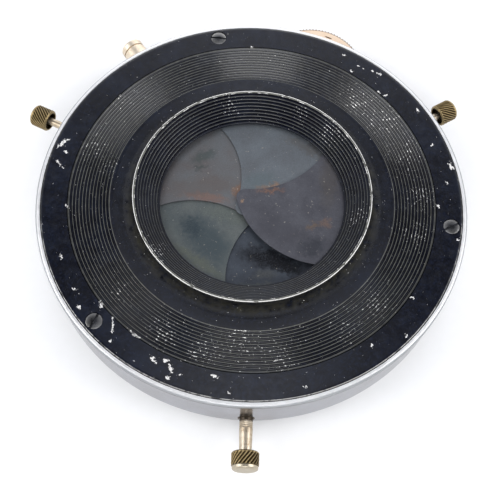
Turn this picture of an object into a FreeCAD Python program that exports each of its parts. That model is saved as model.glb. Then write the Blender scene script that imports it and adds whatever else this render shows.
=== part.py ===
import FreeCAD, Part
import math
import os
from types import SimpleNamespace

import Sketcher

# A large leaf shutter for a plate camera lens, seen in the photograph from behind.
# Millimetres. +Z is the rear, where the blades show. The origin lies on the optical
# axis, in the plane that the front barrel rests on. Angles turn counter-clockwise as
# seen from the rear, from +X.

os.makedirs("parts", exist_ok=True)
doc = FreeCAD.newDocument("leaf_shutter")

# Each driving size is written once here, with what it measures.
SIZES = [
    ("rear_face_height", 24.0, "rest plane to the flat of the rear cover"),
    ("wall_depth", 16.1, "rear flat to the lower edge of the case wall"),
    ("wall_thickness", 2.0, "case wall"),
    ("rim_flare_width", 0.8, "rim bead beyond the case wall"),
    ("rim_width", 1.25, "flat top of the rim, radially"),
    ("rim_round_radius", 0.7, "rounding of the rim's outer edge"),
    ("rim_bead_height", 1.5, "rim bead along the axis"),
    ("rim_drop_height", 0.3, "rear flat down to the top of the rim"),
    ("cover_gap", 0.25, "rear cover to the inside of the rim"),
    ("cover_thickness", 2.0, "rear cover at its flat"),
    ("ledge_width", 4.2, "inner ledge that carries the cover and the plate"),
    ("ledge_height", 3.5, "inner ledge along the axis"),
    ("collar_height", 3.5, "rear collar above the flat"),
    ("collar_radius", 33.0, "outside of the rear collar"),
    ("collar_lip_width", 0.65, "bright lip on top of the collar"),
    ("throat_radius", 25.85, "rear opening, from which the blades and the case are worked out"),
    ("throat_drop_height", 2.3, "rear flat down to the foot of the ridged funnel"),
    ("throat_land_height", 0.6, "plain cylinder below the funnel"),
    ("funnel_ridges", 9, "steps in the funnel"),
    ("cove_width", 6.7, "coved zone between the collar and the grooved band"),
    ("land_width", 7.8, "plain land outside the grooved band"),
    ("ring_grooves", 12, "turned grooves in the band"),
    ("ring_groove_depth", 0.45, "depth of the turned grooves"),
    ("dish_depth", 0.6, "depth of the coved zone beside the collar"),
    ("cove_radius", 2.4, "cove at the foot of the collar"),
    ("plate_thickness", 1.5, "mechanism plate"),
    ("plate_thread_depth", 2.5, "threads for the plate screws"),
    ("plate_gap", 0.1, "mechanism plate to the case wall"),
    ("ring_inset_width", 3.6, "drive pins to the bore of the blade ring"),
    ("boss_wall_thickness", 3.3, "wall of the bearing boss"),
    ("boss_step_width", 0.8, "step down to the bearing of the iris ring"),
    ("blade_thickness", 0.3, "shutter blades and iris leaves"),
    ("blade_gap", 0.15, "air between two blades"),
    ("blade_head_gap", 0.25, "cover to the top blade, and ring to the top leaf"),
    ("blade_arc_inset_width", 0.85, "concave blade edge inside the throat"),
    ("blade_arc_distance", 29.17, "optical axis to the centre of that edge, closed"),
    ("blade_arc_angle", 93.9, "direction of that centre on the first blade"),
    ("blade_back_radius", 26.7, "convex blade edge"),
    ("blade_back_distance", 22.8, "optical axis to the centre of the convex edge"),
    ("blade_back_angle", 21.1, "direction of that centre on the first blade"),
    ("blade_overlap_width", 2.15, "blade corners beyond the throat, closed"),
    ("blade_tip_radius", 2.6, "rounding of the blade tip"),
    ("blade_lug_radius", 3.6, "round lug at the pivot"),
    ("pivot_reach_length", 14.15, "edge of the throat to the blade pivots"),
    ("blade_room_width", 13.0, "blade pivots to the ledge, where the open blades lie"),
    ("pivot_pin_radius", 0.8, "blade pivot pins"),
    ("pivot_shoulder_radius", 1.9, "shoulder that holds each blade at its level"),
    ("drive_arm_length", 6.6, "blade pivot to its drive pin, closed"),
    ("drive_pin_radius", 0.5, "drive pins"),
    ("drive_slot_gap", 0.3, "drive pin to the side of its slot"),
    ("running_gap", 0.05, "radial play of shafts, pins and rings"),
    ("end_gap", 0.1, "play along an axle"),
    ("ring_width", 6.7, "blade ring and iris ring, radially"),
    ("blade_ring_thickness", 1.2, "blade ring"),
    ("ring_ear_reach", 1.6, "ear of the blade ring beyond the ring"),
    ("ring_ear_radius", 2.0, "ear of the blade ring"),
    ("ring_post_radius", 0.6, "post on that ear"),
    ("ring_post_length", 1.2, "post on that ear"),
    ("keeper_width", 1.5, "ring keepers, radially"),
    ("keeper_thickness", 0.3, "ring keepers"),
    ("ring_spacing_height", 3.2, "underside of the blade ring to that of the iris ring"),
    ("iris_ring_thickness", 1.0, "iris ring"),
    ("iris_turn_share", 0.76, "share of a full closing that the iris makes"),
    ("iris_leaf_offset_angle", 36.0, "iris pivots against the blade pivots"),
    ("front_plate_thickness", 1.5, "front plate"),
    ("front_plate_depth", 0.15, "front plate inside the wall"),
    ("front_barrel_thickness", 4.0, "front thread to the outside of the barrel"),
    ("front_spigot_thickness", 1.0, "front thread to the outside of its spigot"),
    ("front_flange_width", 2.6, "flange of the barrel under the front plate"),
    ("front_flange_thickness", 1.8, "flange of the barrel under the front plate"),
    ("front_thread_radius", 30.0, "thread for a front lens cell"),
    ("front_thread_length", 4.0, "thread for a front lens cell"),
    ("front_seat_width", 3.0, "seat for the lens cell behind the front thread"),
    ("pillar_inset_width", 2.3, "inside of the case wall to the pillars"),
    ("pillar_radius", 1.7, "pillars"),
    ("pillar_thread_depth", 4.5, "threads for the front screws"),
    ("plain_head_radius", 1.9, "heads of the plate and front screws"),
    ("plain_head_height", 0.8, "heads of the plate and front screws"),
    ("screw_inset_width", 2.9, "edge of the rear cover to its screws"),
    ("screw_head_radius", 2.3, "rear cover screw heads"),
    ("screw_head_height", 0.7, "rear cover screw heads"),
    ("screw_sink_depth", 0.1, "heads below the flat"),
    ("screw_shank_radius", 1.1, "screw shanks"),
    ("screw_slot_width", 0.6, "driver slots"),
    ("screw_slot_depth", 0.35, "driver slots"),
    ("stem_radius", 1.1, "slim stems of the two side knobs"),
    ("stem_gap", 0.1, "stem to the mechanism plate"),
    ("tenon_radius", 0.55, "tenons at both ends of a stem"),
    ("tenon_length", 3.0, "tenons at both ends of a stem"),
    ("boss_gap", 0.8, "boss of a lever to the inside of the case wall"),
    ("boss_length", 4.6, "boss of a lever round the tenon of its stem"),
    ("side_knob_radius", 3.2, "side knobs"),
    ("knob_recess_depth", 1.3, "recess round the stem of a side knob"),
    ("knob_recess_thickness", 0.75, "wall round that recess"),
    ("side_knob_length", 5.6, "side knobs"),
    ("knob_step_width", 0.25, "plain end of a knob below its knurl"),
    ("knob_chamfer_width", 0.45, "chamfers of a knob"),
    ("lever_thickness", 1.0, "levers"),
    ("lever_hub_width", 2.2, "hub of a lever round its stud"),
    ("lever_arm_width", 2.6, "arms of the levers"),
    ("tail_width", 2.2, "tail of the release lever"),
    ("tail_gap", 0.2, "tail of the release lever to the plunger"),
    ("release_angle", 156.4, "release lever"),
    ("release_stud_distance", 0.15, "stud of the release lever beyond the middle of the lever lane"),
    ("release_knob_distance", 7.5, "case wall to the release knob"),
    ("release_travel", 7.0, "release lever's turn"),
    ("cocking_angle", 32.8, "cocking lever"),
    ("cocking_stud_distance", 1.85, "stud of the cocking lever inside the middle of the lever lane"),
    ("cocking_knob_distance", 5.6, "case wall to the cocking knob"),
    ("cocking_travel", 30.0, "cocking lever's turn"),
    ("cable_angle", 125.8, "cable release socket"),
    ("cable_socket_radius", 3.4, "cable release socket"),
    ("cable_socket_length", 9.1, "case wall to the end of the socket"),
    ("cable_flare_width", 0.4, "socket wider at the case wall"),
    ("cable_nose_radius", 2.5, "part of the socket in the wall"),
    ("cable_thread_radius", 1.5, "thread for a cable release"),
    ("cable_thread_length", 4.5, "thread for a cable release"),
    ("cable_foot_gap", 0.3, "rim bead to the body of the socket"),
    ("cable_cap_length", 2.5, "end band of the socket beyond its groove"),
    ("cable_groove_width", 0.4, "dark groove round the socket"),
    ("cable_round_radius", 0.7, "rounded end of the socket"),
    ("plunger_radius", 1.0, "cable plunger"),
    ("plunger_head_width", 0.9, "head of the plunger, radially"),
    ("plunger_head_length", 1.0, "head of the plunger"),
    ("plunger_reach_length", 4.3, "inner end of the plunger inside the case wall"),
    ("plunger_travel", 2.9, "cable plunger"),
    ("wheel_angle", 71.8, "speed wheel"),
    ("wheel_inset_distance", 6.0, "outside of the case wall to the centre of the speed wheel"),
    ("wheel_radius", 15.6, "speed wheel"),
    ("wheel_thickness", 1.0, "speed wheel"),
    ("wheel_drop_height", 1.8, "mechanism plate to the speed wheel"),
    ("wheel_notch_depth", 0.35, "depth of the notches on its edge"),
    ("wheel_teeth", 96, "notches on its edge"),
    ("cam_thickness", 0.9, "cam on the speed wheel"),
    ("cam_radius", 3.1, "cam on the speed wheel"),
    ("cam_offset_distance", 0.5, "centre of the cam from the wheel's"),
    ("slot_gap", 0.3, "moving pieces to the sides of the wall slots"),
    ("iris_shaft_angle", -88.8, "iris knob and its shaft"),
    ("iris_shaft_rise_height", 2.5, "lower edge of the wall to the shaft axis"),
    ("iris_shaft_radius", 1.8, "iris shaft"),
    ("iris_collar_width", 0.35, "collar of the iris shaft, radially"),
    ("iris_collar_thickness", 0.55, "collar of the iris shaft"),
    ("iris_tenon_step", 0.6, "shoulder of the iris shaft under its knob"),
    ("iris_tenon_length", 2.5, "end of the iris shaft in its knob"),
    ("iris_ring_pitch", 0.5, "turned rings on the iris shaft, one length"),
    ("iris_knob_radius", 3.7, "iris knob"),
    ("iris_knob_distance", 9.0, "case wall to the iris knob"),
    ("iris_taper_width", 0.15, "iris shaft thinner at its knob"),
    ("iris_groove_depth", 0.12, "depth of the turned rings on the iris shaft"),
    ("iris_knob_length", 4.9, "iris knob"),
    ("iris_bush_thickness", 0.45, "bush of the iris shaft"),
    ("crown_teeth", 250, "teeth of a full crown on the iris ring"),
    ("crown_pinion_teeth", 6, "teeth of the iris pinion"),
    ("crown_inset_distance", 2.3, "inside of the case wall to the middle of the crown teeth"),
    ("crown_width", 3.0, "crown teeth, radially"),
    ("crown_pinion_radius", 1.7, "tips of the iris pinion"),
    ("crown_tooth_depth", 0.95, "teeth of the iris pinion"),
    ("gear_module", 0.5, "teeth of the retard train"),
    ("sector_teeth", 40, "teeth of a full cocking gear"),
    ("pinion_teeth", 8, "pinions of the retard train"),
    ("first_wheel_teeth", 20, "first wheel of the retard train"),
    ("second_wheel_teeth", 16, "second wheel of the retard train"),
    ("train_distance", 0.85, "train's arbors inside the middle of the lever lane"),
    ("star_radius", 3.2, "star wheel"),
    ("star_teeth", 10, "star wheel"),
    ("arbor_radius", 0.45, "pivots of the train's arbors"),
    ("stud_radius", 2.0, "lever studs"),
    ("stud_head_width", 1.1, "stud heads beyond the stud"),
    ("spring_wire_radius", 0.18, "wire of the lever springs"),
    ("spring_pitch_length", 0.44, "rise of a spring per turn"),
    ("spring_gap", 0.08, "spring coil to the stud head and to the lever"),
    ("spring_post_radius", 0.6, "posts that hold the springs"),
    ("spring_post_distance", 6.0, "stud to the post of its spring"),
    ("click_spring_length", 7.0, "click spring of the speed wheel"),
    ("click_spring_thickness", 0.3, "click spring of the speed wheel"),
    ("click_nose_radius", 0.4, "nose of the click spring"),
    ("bridge_arm_width", 2.4, "arms of the train's bridge"),
    ("cutter_length", 1.0, "cutters beyond what they cut"),
]


class Size:
    """A number kept together with the formula that ties it to the sheet."""

    def __init__(self, number, formula):
        self.number = float(number)
        self.formula = formula

    def __add__(self, other):
        other = as_size(other)
        return Size(self.number + other.number, "(%s + %s)" % (self.formula, other.formula))

    def __sub__(self, other):
        other = as_size(other)
        return Size(self.number - other.number, "(%s - %s)" % (self.formula, other.formula))

    def __mul__(self, other):
        other = as_size(other)
        return Size(self.number * other.number, "(%s * %s)" % (self.formula, other.formula))

    def __truediv__(self, other):
        other = as_size(other)
        return Size(self.number / other.number, "(%s / %s)" % (self.formula, other.formula))

    __radd__ = __add__
    __rmul__ = __mul__

    def __rsub__(self, other):
        return as_size(other) - self

    def __float__(self):
        return self.number


def as_size(value):
    """Give a plain number the form of a Size."""
    return value if isinstance(value, Size) else Size(value, "%.6g" % value)


def cosine(angle):
    return Size(math.cos(math.radians(angle.number)), "cos(%s)" % angle.formula)


def sine(angle):
    return Size(math.sin(math.radians(angle.number)), "sin(%s)" % angle.formula)


sheet = doc.addObject("Spreadsheet::Sheet", "sizes")
S = SimpleNamespace()
for row, (alias, number, note) in enumerate(SIZES, start=1):
    sheet.set("A%d" % row, note)
    sheet.set("B%d" % row, str(number))
    sheet.setAlias("B%d" % row, alias)
    setattr(S, alias, Size(number, "sizes." + alias))
doc.recompute()

# Radii that several pieces share, from the throat outwards.
pivot_circle = S.throat_radius + S.pivot_reach_length
drive_circle = pivot_circle - S.drive_arm_length
boss_radius = drive_circle - S.ring_inset_width
ring_radius = boss_radius + S.ring_width
ledge_inner = pivot_circle + S.blade_room_width
wall_inner = ledge_inner + S.ledge_width
wall_radius = wall_inner + S.wall_thickness
rim_radius = wall_radius + S.rim_flare_width
cover_radius = rim_radius - S.rim_width - S.cover_gap
groove_outer = cover_radius - S.land_width
groove_inner = S.collar_radius + S.cove_width
lever_lane = (ring_radius + wall_inner) / 2
cocking_circle = lever_lane - S.cocking_stud_distance
release_circle = lever_lane + S.release_stud_distance
train_circle = lever_lane - S.train_distance
wheel_circle = wall_radius - S.wheel_inset_distance
pillar_circle = wall_inner - S.pillar_inset_width
crown_circle = wall_inner - S.crown_inset_distance
screw_circle = cover_radius - S.screw_inset_width
barrel_radius = S.front_thread_radius + S.front_barrel_thickness
spigot_radius = S.front_thread_radius + S.front_spigot_thickness
plunger_tip = wall_inner - S.plunger_reach_length

# Heights that several pieces share.
wall_bottom = S.rear_face_height - S.wall_depth
cover_seat = S.rear_face_height - S.cover_thickness
plate_top = cover_seat - S.ledge_height
plate_bottom = plate_top - S.plate_thickness
plate_radius = wall_inner - S.plate_gap
lever_axis = plate_bottom - S.stem_radius - S.stem_gap
lever_bottom = lever_axis - S.lever_thickness / 2
lever_top = lever_axis + S.lever_thickness / 2
wheel_top = plate_bottom - S.wheel_drop_height
wheel_bottom = wheel_top - S.wheel_thickness
blade_ring_top = plate_bottom - S.end_gap * 2
blade_ring_bottom = blade_ring_top - S.blade_ring_thickness
iris_ring_bottom = blade_ring_bottom - S.ring_spacing_height
iris_ring_top = iris_ring_bottom + S.iris_ring_thickness
front_plate_top = wall_bottom + S.front_plate_depth
front_plate_bottom = front_plate_top - S.front_plate_thickness
iris_shaft_height = wall_bottom + S.iris_shaft_rise_height
throat_foot = S.rear_face_height - S.throat_drop_height - S.throat_land_height
blade_pitch = S.blade_thickness + S.blade_gap
top_blade = throat_foot - S.blade_head_gap
top_leaf = iris_ring_bottom - S.end_gap - S.keeper_thickness - S.blade_head_gap
boss_inner = boss_radius - S.boss_wall_thickness
iris_bearing = boss_radius - S.boss_step_width
SPRING_TURNS = 3
spring_low = lever_bottom - S.spring_gap - S.spring_wire_radius - S.spring_pitch_length * SPRING_TURNS
BLADES = 5
STEM_RINGS = 4
EAR_ANGLE = 262.0
CLICK_TURN = 220.0
LEVER_PILLARS = (106.0, 186.0, 232.0, 318.0)
COVER_SCREWS = ((103.0, -3.0), (224.5, 68.0), (353.6, 28.0))
PLATE_SCREWS = (52.0, 172.0, 292.0)
SLOT_TURN = 40.0

nodes = {}


def node(item, label):
    """Name a finished sub-part, so that it is checked and written."""
    item.Label = label
    nodes[label] = item
    return item


def bind(item, prop, value):
    """Tie one property of an object to the sheet."""
    item.setExpression(prop, as_size(value).formula)


# Geometry helpers in plain numbers, for outlines that no primitive has.
def polar(radius, angle, height=0.0):
    turn = math.radians(float(angle))
    return FreeCAD.Vector(float(radius) * math.cos(turn), float(radius) * math.sin(turn), float(height))


def radial_place(angle, height):
    """Lay a turned piece along a radius of the case."""
    turn = FreeCAD.Rotation(FreeCAD.Vector(0, 0, 1), float(angle))
    tip_over = FreeCAD.Rotation(FreeCAD.Vector(0, 1, 0), 90)
    return FreeCAD.Placement(FreeCAD.Vector(0, 0, float(height)), turn.multiply(tip_over))


def standing_place(radius, angle, spin=0.0):
    """Stand a turned piece on a circle of the case."""
    turn = FreeCAD.Rotation(FreeCAD.Vector(0, 0, 1), float(spin))
    return FreeCAD.Placement(polar(radius, angle), turn)


def origin_plane(body, role):
    return [part for part in body.Origin.OriginFeatures if part.Role == role][0]


def pin_point(sketch, item, index, value, vertical):
    """Fix one coordinate of a sketch point to its formula."""
    axis = -1 if vertical else -2
    if abs(value.number) < 1e-9:
        sketch.addConstraint(Sketcher.Constraint("PointOnObject", item, index, axis))
        return
    kind = "DistanceY" if vertical else "DistanceX"
    row = sketch.addConstraint(Sketcher.Constraint(kind, -1, 1, item, index, value.number))
    sketch.setExpression("Constraints[%d]" % row, value.formula)


class Arc:
    """A round stretch between two points of a profile; side 1 bulges right, -1 left."""

    def __init__(self, radius, side):
        self.radius = as_size(radius)
        self.side = side

    def middle(self, start, end):
        chord = end - start
        half = chord.Length / 2
        rise = self.radius.number - math.sqrt(self.radius.number ** 2 - half ** 2)
        aside = FreeCAD.Vector(chord.y, -chord.x, 0).normalize()
        return (start + end) * 0.5 + aside * rise * self.side


def draw(sketch, profile):
    """Draw a closed profile of points, with an Arc between two of them where it is round."""
    points = [item for item in profile if not isinstance(item, Arc)]
    arcs = {}
    count = 0
    for item in profile:
        if isinstance(item, Arc):
            arcs[count - 1] = item
        else:
            count += 1
    points = [(as_size(across), as_size(along)) for across, along in points]
    spots = [FreeCAD.Vector(across.number, along.number, 0) for across, along in points]
    ends = []
    for index, start in enumerate(spots):
        end = spots[(index + 1) % len(spots)]
        if index in arcs:
            edge = Part.Arc(start, arcs[index].middle(start, end), end)
            item = sketch.addGeometry(edge)
            first = sketch.getPoint(item, 1)
            order = (1, 2) if (first - start).Length < 1e-6 else (2, 1)
            row = sketch.addConstraint(Sketcher.Constraint("Radius", item, arcs[index].radius.number))
            sketch.setExpression("Constraints[%d]" % row, arcs[index].radius.formula)
        else:
            item = sketch.addGeometry(Part.LineSegment(start, end))
            order = (1, 2)
        ends.append((item, order))
    for index, (item, order) in enumerate(ends):
        after, after_order = ends[(index + 1) % len(ends)]
        sketch.addConstraint(Sketcher.Constraint("Coincident", item, order[1], after, after_order[0]))
    for (item, order), (across, along) in zip(ends, points):
        pin_point(sketch, item, order[0], across, False)
        pin_point(sketch, item, order[0], along, True)


def turned(name, profile, place=None):
    """A body turned about its own Z from a profile of (radius, height) points."""
    body = doc.addObject("PartDesign::Body", name)
    sketch = body.newObject("Sketcher::SketchObject", name + "_profile")
    sketch.AttachmentSupport = [(origin_plane(body, "XZ_Plane"), "")]
    sketch.MapMode = "FlatFace"
    draw(sketch, profile)
    turn = body.newObject("PartDesign::Revolution", name + "_turn")
    turn.Profile = sketch
    turn.ReferenceAxis = (sketch, ["V_Axis"])
    turn.Angle = 360
    if place is not None:
        body.Placement = place
    return body


def cylinder(name, radius, bottom, top, circle=0.0, angle=0.0):
    """An upright cylinder on a circle of the case."""
    item = doc.addObject("Part::Cylinder", name)
    bottom = as_size(bottom)
    circle = as_size(circle)
    angle = as_size(angle)
    bind(item, "Radius", radius)
    bind(item, "Height", as_size(top) - bottom)
    bind(item, "Placement.Base.x", circle * cosine(angle))
    bind(item, "Placement.Base.y", circle * sine(angle))
    bind(item, "Placement.Base.z", bottom)
    return item


def radial_cylinder(name, radius, inner, outer, angle, height):
    """A cylinder that lies along a radius of the case."""
    item = doc.addObject("Part::Cylinder", name)
    bind(item, "Radius", radius)
    bind(item, "Height", as_size(outer) - inner)
    item.Placement = radial_place(angle, height).multiply(
        FreeCAD.Placement(FreeCAD.Vector(0, 0, float(inner)), FreeCAD.Rotation()))
    return item


def bar(name, start, end, width, bottom, thickness):
    """A flat bar from one point to another."""
    item = doc.addObject("Part::Box", name)
    run = end - start
    item.Length = run.Length
    bind(item, "Width", width)
    bind(item, "Height", thickness)
    turn = FreeCAD.Rotation(FreeCAD.Vector(1, 0, 0), FreeCAD.Vector(run.x, run.y, 0))
    corner = start + turn.multVec(FreeCAD.Vector(0, -float(width) / 2, 0))
    item.Placement = FreeCAD.Placement(FreeCAD.Vector(corner.x, corner.y, float(bottom)), turn)
    return item


def wall_sector(name, first, last, bottom, top):
    """A cutter through the case wall between two angles."""
    outer = doc.addObject("Part::Cylinder", name + "_outer")
    bind(outer, "Radius", rim_radius + S.wall_thickness)
    bind(outer, "Height", as_size(top) - bottom)
    outer.Angle = float(last) - float(first)
    outer.Placement = FreeCAD.Placement(FreeCAD.Vector(0, 0, float(bottom)),
                                        FreeCAD.Rotation(FreeCAD.Vector(0, 0, 1), float(first)))
    inner = cylinder(name + "_inner", wall_inner - S.wall_thickness / 2, bottom, top)
    return cut(name, outer, [inner])


def fuse(name, pieces):
    item = doc.addObject("Part::MultiFuse", name)
    item.Shapes = pieces
    return item


def cut(name, base, cutters):
    tool = cutters[0] if len(cutters) == 1 else fuse(name + "_cutters", cutters)
    item = doc.addObject("Part::Cut", name)
    item.Base = base
    item.Tool = tool
    return item


def group(name, pieces):
    item = doc.addObject("Part::Compound", name)
    item.Links = pieces
    return item


def plain(name, shape):
    """A sub-part whose outline only a formula gives."""
    item = doc.addObject("Part::Feature", name)
    item.Shape = shape
    return item


def copies(name, source, places):
    """Identical fasteners, as separate solids in one node."""
    doc.recompute()
    solids = []
    for place in places:
        solid = source.Shape.copy()
        solid.Placement = place.multiply(solid.Placement)
        solids.append(solid)
    return plain(name, Part.makeCompound(solids))


def plate_from(wire, bottom, thickness, holes=()):
    """A flat plate from an outline, with holes cut through it."""
    face = Part.Face(wire)
    solid = face.extrude(FreeCAD.Vector(0, 0, float(thickness)))
    solid.translate(FreeCAD.Vector(0, 0, float(bottom)))
    for hole in holes:
        solid = solid.cut(hole)
    return solid


def disc(radius, bottom, thickness, centre=FreeCAD.Vector(0, 0, 0)):
    base = FreeCAD.Vector(centre.x, centre.y, float(bottom))
    return Part.makeCylinder(float(radius), float(thickness), base)


def through_hole(radius, bottom, top, centre):
    """A cutter that passes through a plate between two heights."""
    beyond = S.cutter_length.number
    return disc(radius, float(bottom) - beyond, float(top) - float(bottom) + 2 * beyond, centre)


# The angles between which a blade turns follow from its own outline.
def blade_angles():
    """Pivot angle, closing turn of a blade and turn of its ring."""
    half = S.blade_arc_distance.number / 2
    reach = pivot_circle.number
    pivot_angle = S.blade_arc_angle.number - math.degrees(math.acos(half / reach))
    blade_turn = 2 * math.degrees(math.asin(half / reach))
    arm = reach - drive_circle.number
    ring_turn = blade_turn * arm / drive_circle.number
    return pivot_angle, blade_turn, ring_turn


PIVOT_ANGLE, BLADE_TURN, RING_TURN = blade_angles()
STEP = 360.0 / BLADES


def case_drum():
    top = S.rear_face_height - S.rim_drop_height
    rim_inner = rim_radius - S.rim_width
    bead_bottom = top - S.rim_bead_height
    flare = rim_radius - wall_radius
    edge = 0.4
    drum = turned("drum_turned", [
        (wall_inner, wall_bottom),
        (wall_radius - edge, wall_bottom),
        (wall_radius, wall_bottom + edge),
        (wall_radius, bead_bottom - flare),
        (rim_radius, bead_bottom),
        (rim_radius, top - S.rim_round_radius),
        Arc(S.rim_round_radius, 1),
        (rim_radius - S.rim_round_radius, top),
        (rim_inner, top),
        (rim_inner, cover_seat),
        (ledge_inner, cover_seat),
        (ledge_inner, plate_top),
        (wall_inner, plate_top),
    ])
    stem_low = lever_axis - S.stem_radius - S.slot_gap
    stem_high = lever_axis + S.stem_radius + S.slot_gap
    cutters = []
    for name, stud, angle, travel in (
            ("cocking", cocking_circle, S.cocking_angle, S.cocking_travel.number),
            ("release", release_circle, S.release_angle, -S.release_travel.number)):
        first, last = stem_angles(stud.number, angle.number, travel)
        cutters.append(wall_sector(name + "_slot", first, last, stem_low, stem_high))
    half = wheel_half_angle()
    wheel_first = S.wheel_angle.number - half
    wheel_last = S.wheel_angle.number + half
    cutters.append(wall_sector("wheel_slot", wheel_first, wheel_last,
                               wheel_bottom - S.slot_gap, wheel_top + S.slot_gap))
    cutters.append(radial_cylinder("iris_hole", S.iris_shaft_radius + S.running_gap + S.iris_bush_thickness,
                                   ledge_inner, rim_radius, S.iris_shaft_angle, iris_shaft_height))
    cutters.append(radial_cylinder("cable_hole", S.cable_nose_radius, ledge_inner, rim_radius,
                                   S.cable_angle, lever_axis))
    for index, (angle, slot) in enumerate(COVER_SCREWS):
        cutters.append(cylinder("cover_thread_%d" % index, S.screw_shank_radius, plate_top - S.cutter_length,
                                cover_seat + S.cutter_length, screw_circle, angle))
    for index, angle in enumerate(PLATE_SCREWS):
        cutters.append(cylinder("plate_thread_%d" % index, S.screw_shank_radius, plate_top - S.cutter_length,
                                plate_top + S.plate_thread_depth, pillar_circle, angle))
    node(cut("case_drum", drum, cutters), "case_drum")


def stem_angles(stud, angle, travel):
    """The angles of the wall slot that a lever's stem needs."""
    reach = wall_radius.number
    centre = polar(stud, angle)
    edges = []
    for turn in (0.0, travel):
        way = polar(1.0, angle + turn)
        along = centre.dot(way)
        run = -along + math.sqrt(along ** 2 - stud ** 2 + reach ** 2)
        spot = centre + way * run
        edges.append(math.degrees(math.atan2(spot.y, spot.x)))
    lean = math.cos(math.radians(travel))
    room = math.degrees((S.stem_radius.number / lean + 2 * S.slot_gap.number) / wall_inner.number)
    return min(edges) - room, max(edges) + room


def wheel_half_angle():
    """Half the arc of the wall that the speed wheel passes through."""
    reach = S.wheel_radius.number + S.slot_gap.number
    near = wall_inner.number - S.wall_thickness.number / 2
    far = wheel_circle.number
    return math.degrees(math.acos((near ** 2 + far ** 2 - reach ** 2) / (2 * near * far)))


def rear_cover():
    """The turned cover: grooved band, coved zone, collar and ridged funnel."""
    flat = S.rear_face_height
    lip_radius = S.collar_radius - S.collar_lip_width
    collar_top = flat + S.collar_height
    edge = 0.25
    profile = [
        (cover_radius, cover_seat),
        (cover_radius, flat - edge),
        (cover_radius - edge, flat),
    ]
    pitch = (groove_outer - groove_inner) / S.ring_grooves
    for index in range(int(S.ring_grooves.number)):
        crest = groove_outer - pitch * index
        profile.append((crest, flat))
        profile.append((crest - pitch / 2, flat - S.ring_groove_depth))
    dish = flat - S.dish_depth
    foot = S.collar_radius + S.cove_radius * 0.6
    profile += [
        (groove_inner, flat),
        (foot + 1.2, dish),
        (foot, dish),
        Arc(S.cove_radius, 1),
        (S.collar_radius, dish + S.cove_radius * 0.55),
        (S.collar_radius, collar_top - 0.15),
        (S.collar_radius - 0.15, collar_top),
        (lip_radius, collar_top),
    ]
    steps = int(S.funnel_ridges.number)
    inward = (lip_radius - S.throat_radius) / S.funnel_ridges
    down = (S.collar_height + S.throat_drop_height) / S.funnel_ridges
    for index in range(steps):
        profile.append((lip_radius - inward * index, collar_top - down * (index + 1)))
        profile.append((lip_radius - inward * (index + 1), collar_top - down * (index + 1)))
    profile += [
        (S.throat_radius, throat_foot),
        (S.collar_radius, throat_foot),
        (S.collar_radius + 1.5, cover_seat),
    ]
    cover = turned("cover_turned", profile)
    cutters = []
    for index, (angle, slot) in enumerate(COVER_SCREWS):
        seat = flat - S.screw_sink_depth - S.screw_head_height
        cutters.append(cylinder("head_seat_%d" % index, S.screw_head_radius + S.running_gap, seat,
                                flat + 1, screw_circle, angle))
        cutters.append(cylinder("shank_hole_%d" % index, S.screw_shank_radius + S.running_gap,
                                cover_seat - 1, flat + 1, screw_circle, angle))
    node(cut("rear_cover", cover, cutters), "rear_cover")


def screw(name, head_radius, head_height, length):
    """A slotted cheese-head screw with its head at the origin, shank pointing away."""
    body = turned(name + "_turned", [
        (0, 0), (head_radius, 0), (head_radius, head_height - 0.12),
        (head_radius - 0.12, head_height), (0, head_height),
    ])
    shank = cylinder(name + "_shank", S.screw_shank_radius, as_size(0.2) - length, 0.2)
    whole = fuse(name + "_whole", [body, shank])
    slot = doc.addObject("Part::Box", name + "_slot")
    reach = as_size(head_radius) + 1
    bind(slot, "Length", reach * 2)
    bind(slot, "Width", S.screw_slot_width)
    bind(slot, "Height", S.screw_slot_depth * 2)
    bind(slot, "Placement.Base.x", 0 - reach)
    bind(slot, "Placement.Base.y", 0 - S.screw_slot_width / 2)
    bind(slot, "Placement.Base.z", as_size(head_height) - S.screw_slot_depth)
    return cut(name, whole, [slot])


def cover_screws():
    seat = S.rear_face_height - S.screw_sink_depth - S.screw_head_height
    sample = screw("cover_screw", S.screw_head_radius, S.screw_head_height,
                   S.cover_thickness + S.ledge_height - 1.2)
    places = []
    for angle, slot in COVER_SCREWS:
        place = standing_place(screw_circle, angle, slot)
        place.Base.z = seat.number
        places.append(place)
    node(copies("cover_screws", sample, places), "cover_screws")


def hanging(place, height):
    """Turn a screw over, so that its head hangs below a plate."""
    over = FreeCAD.Rotation(FreeCAD.Vector(1, 0, 0), 180)
    base = FreeCAD.Vector(place.Base.x, place.Base.y, float(height))
    return FreeCAD.Placement(base, place.Rotation.multiply(over))


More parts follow.
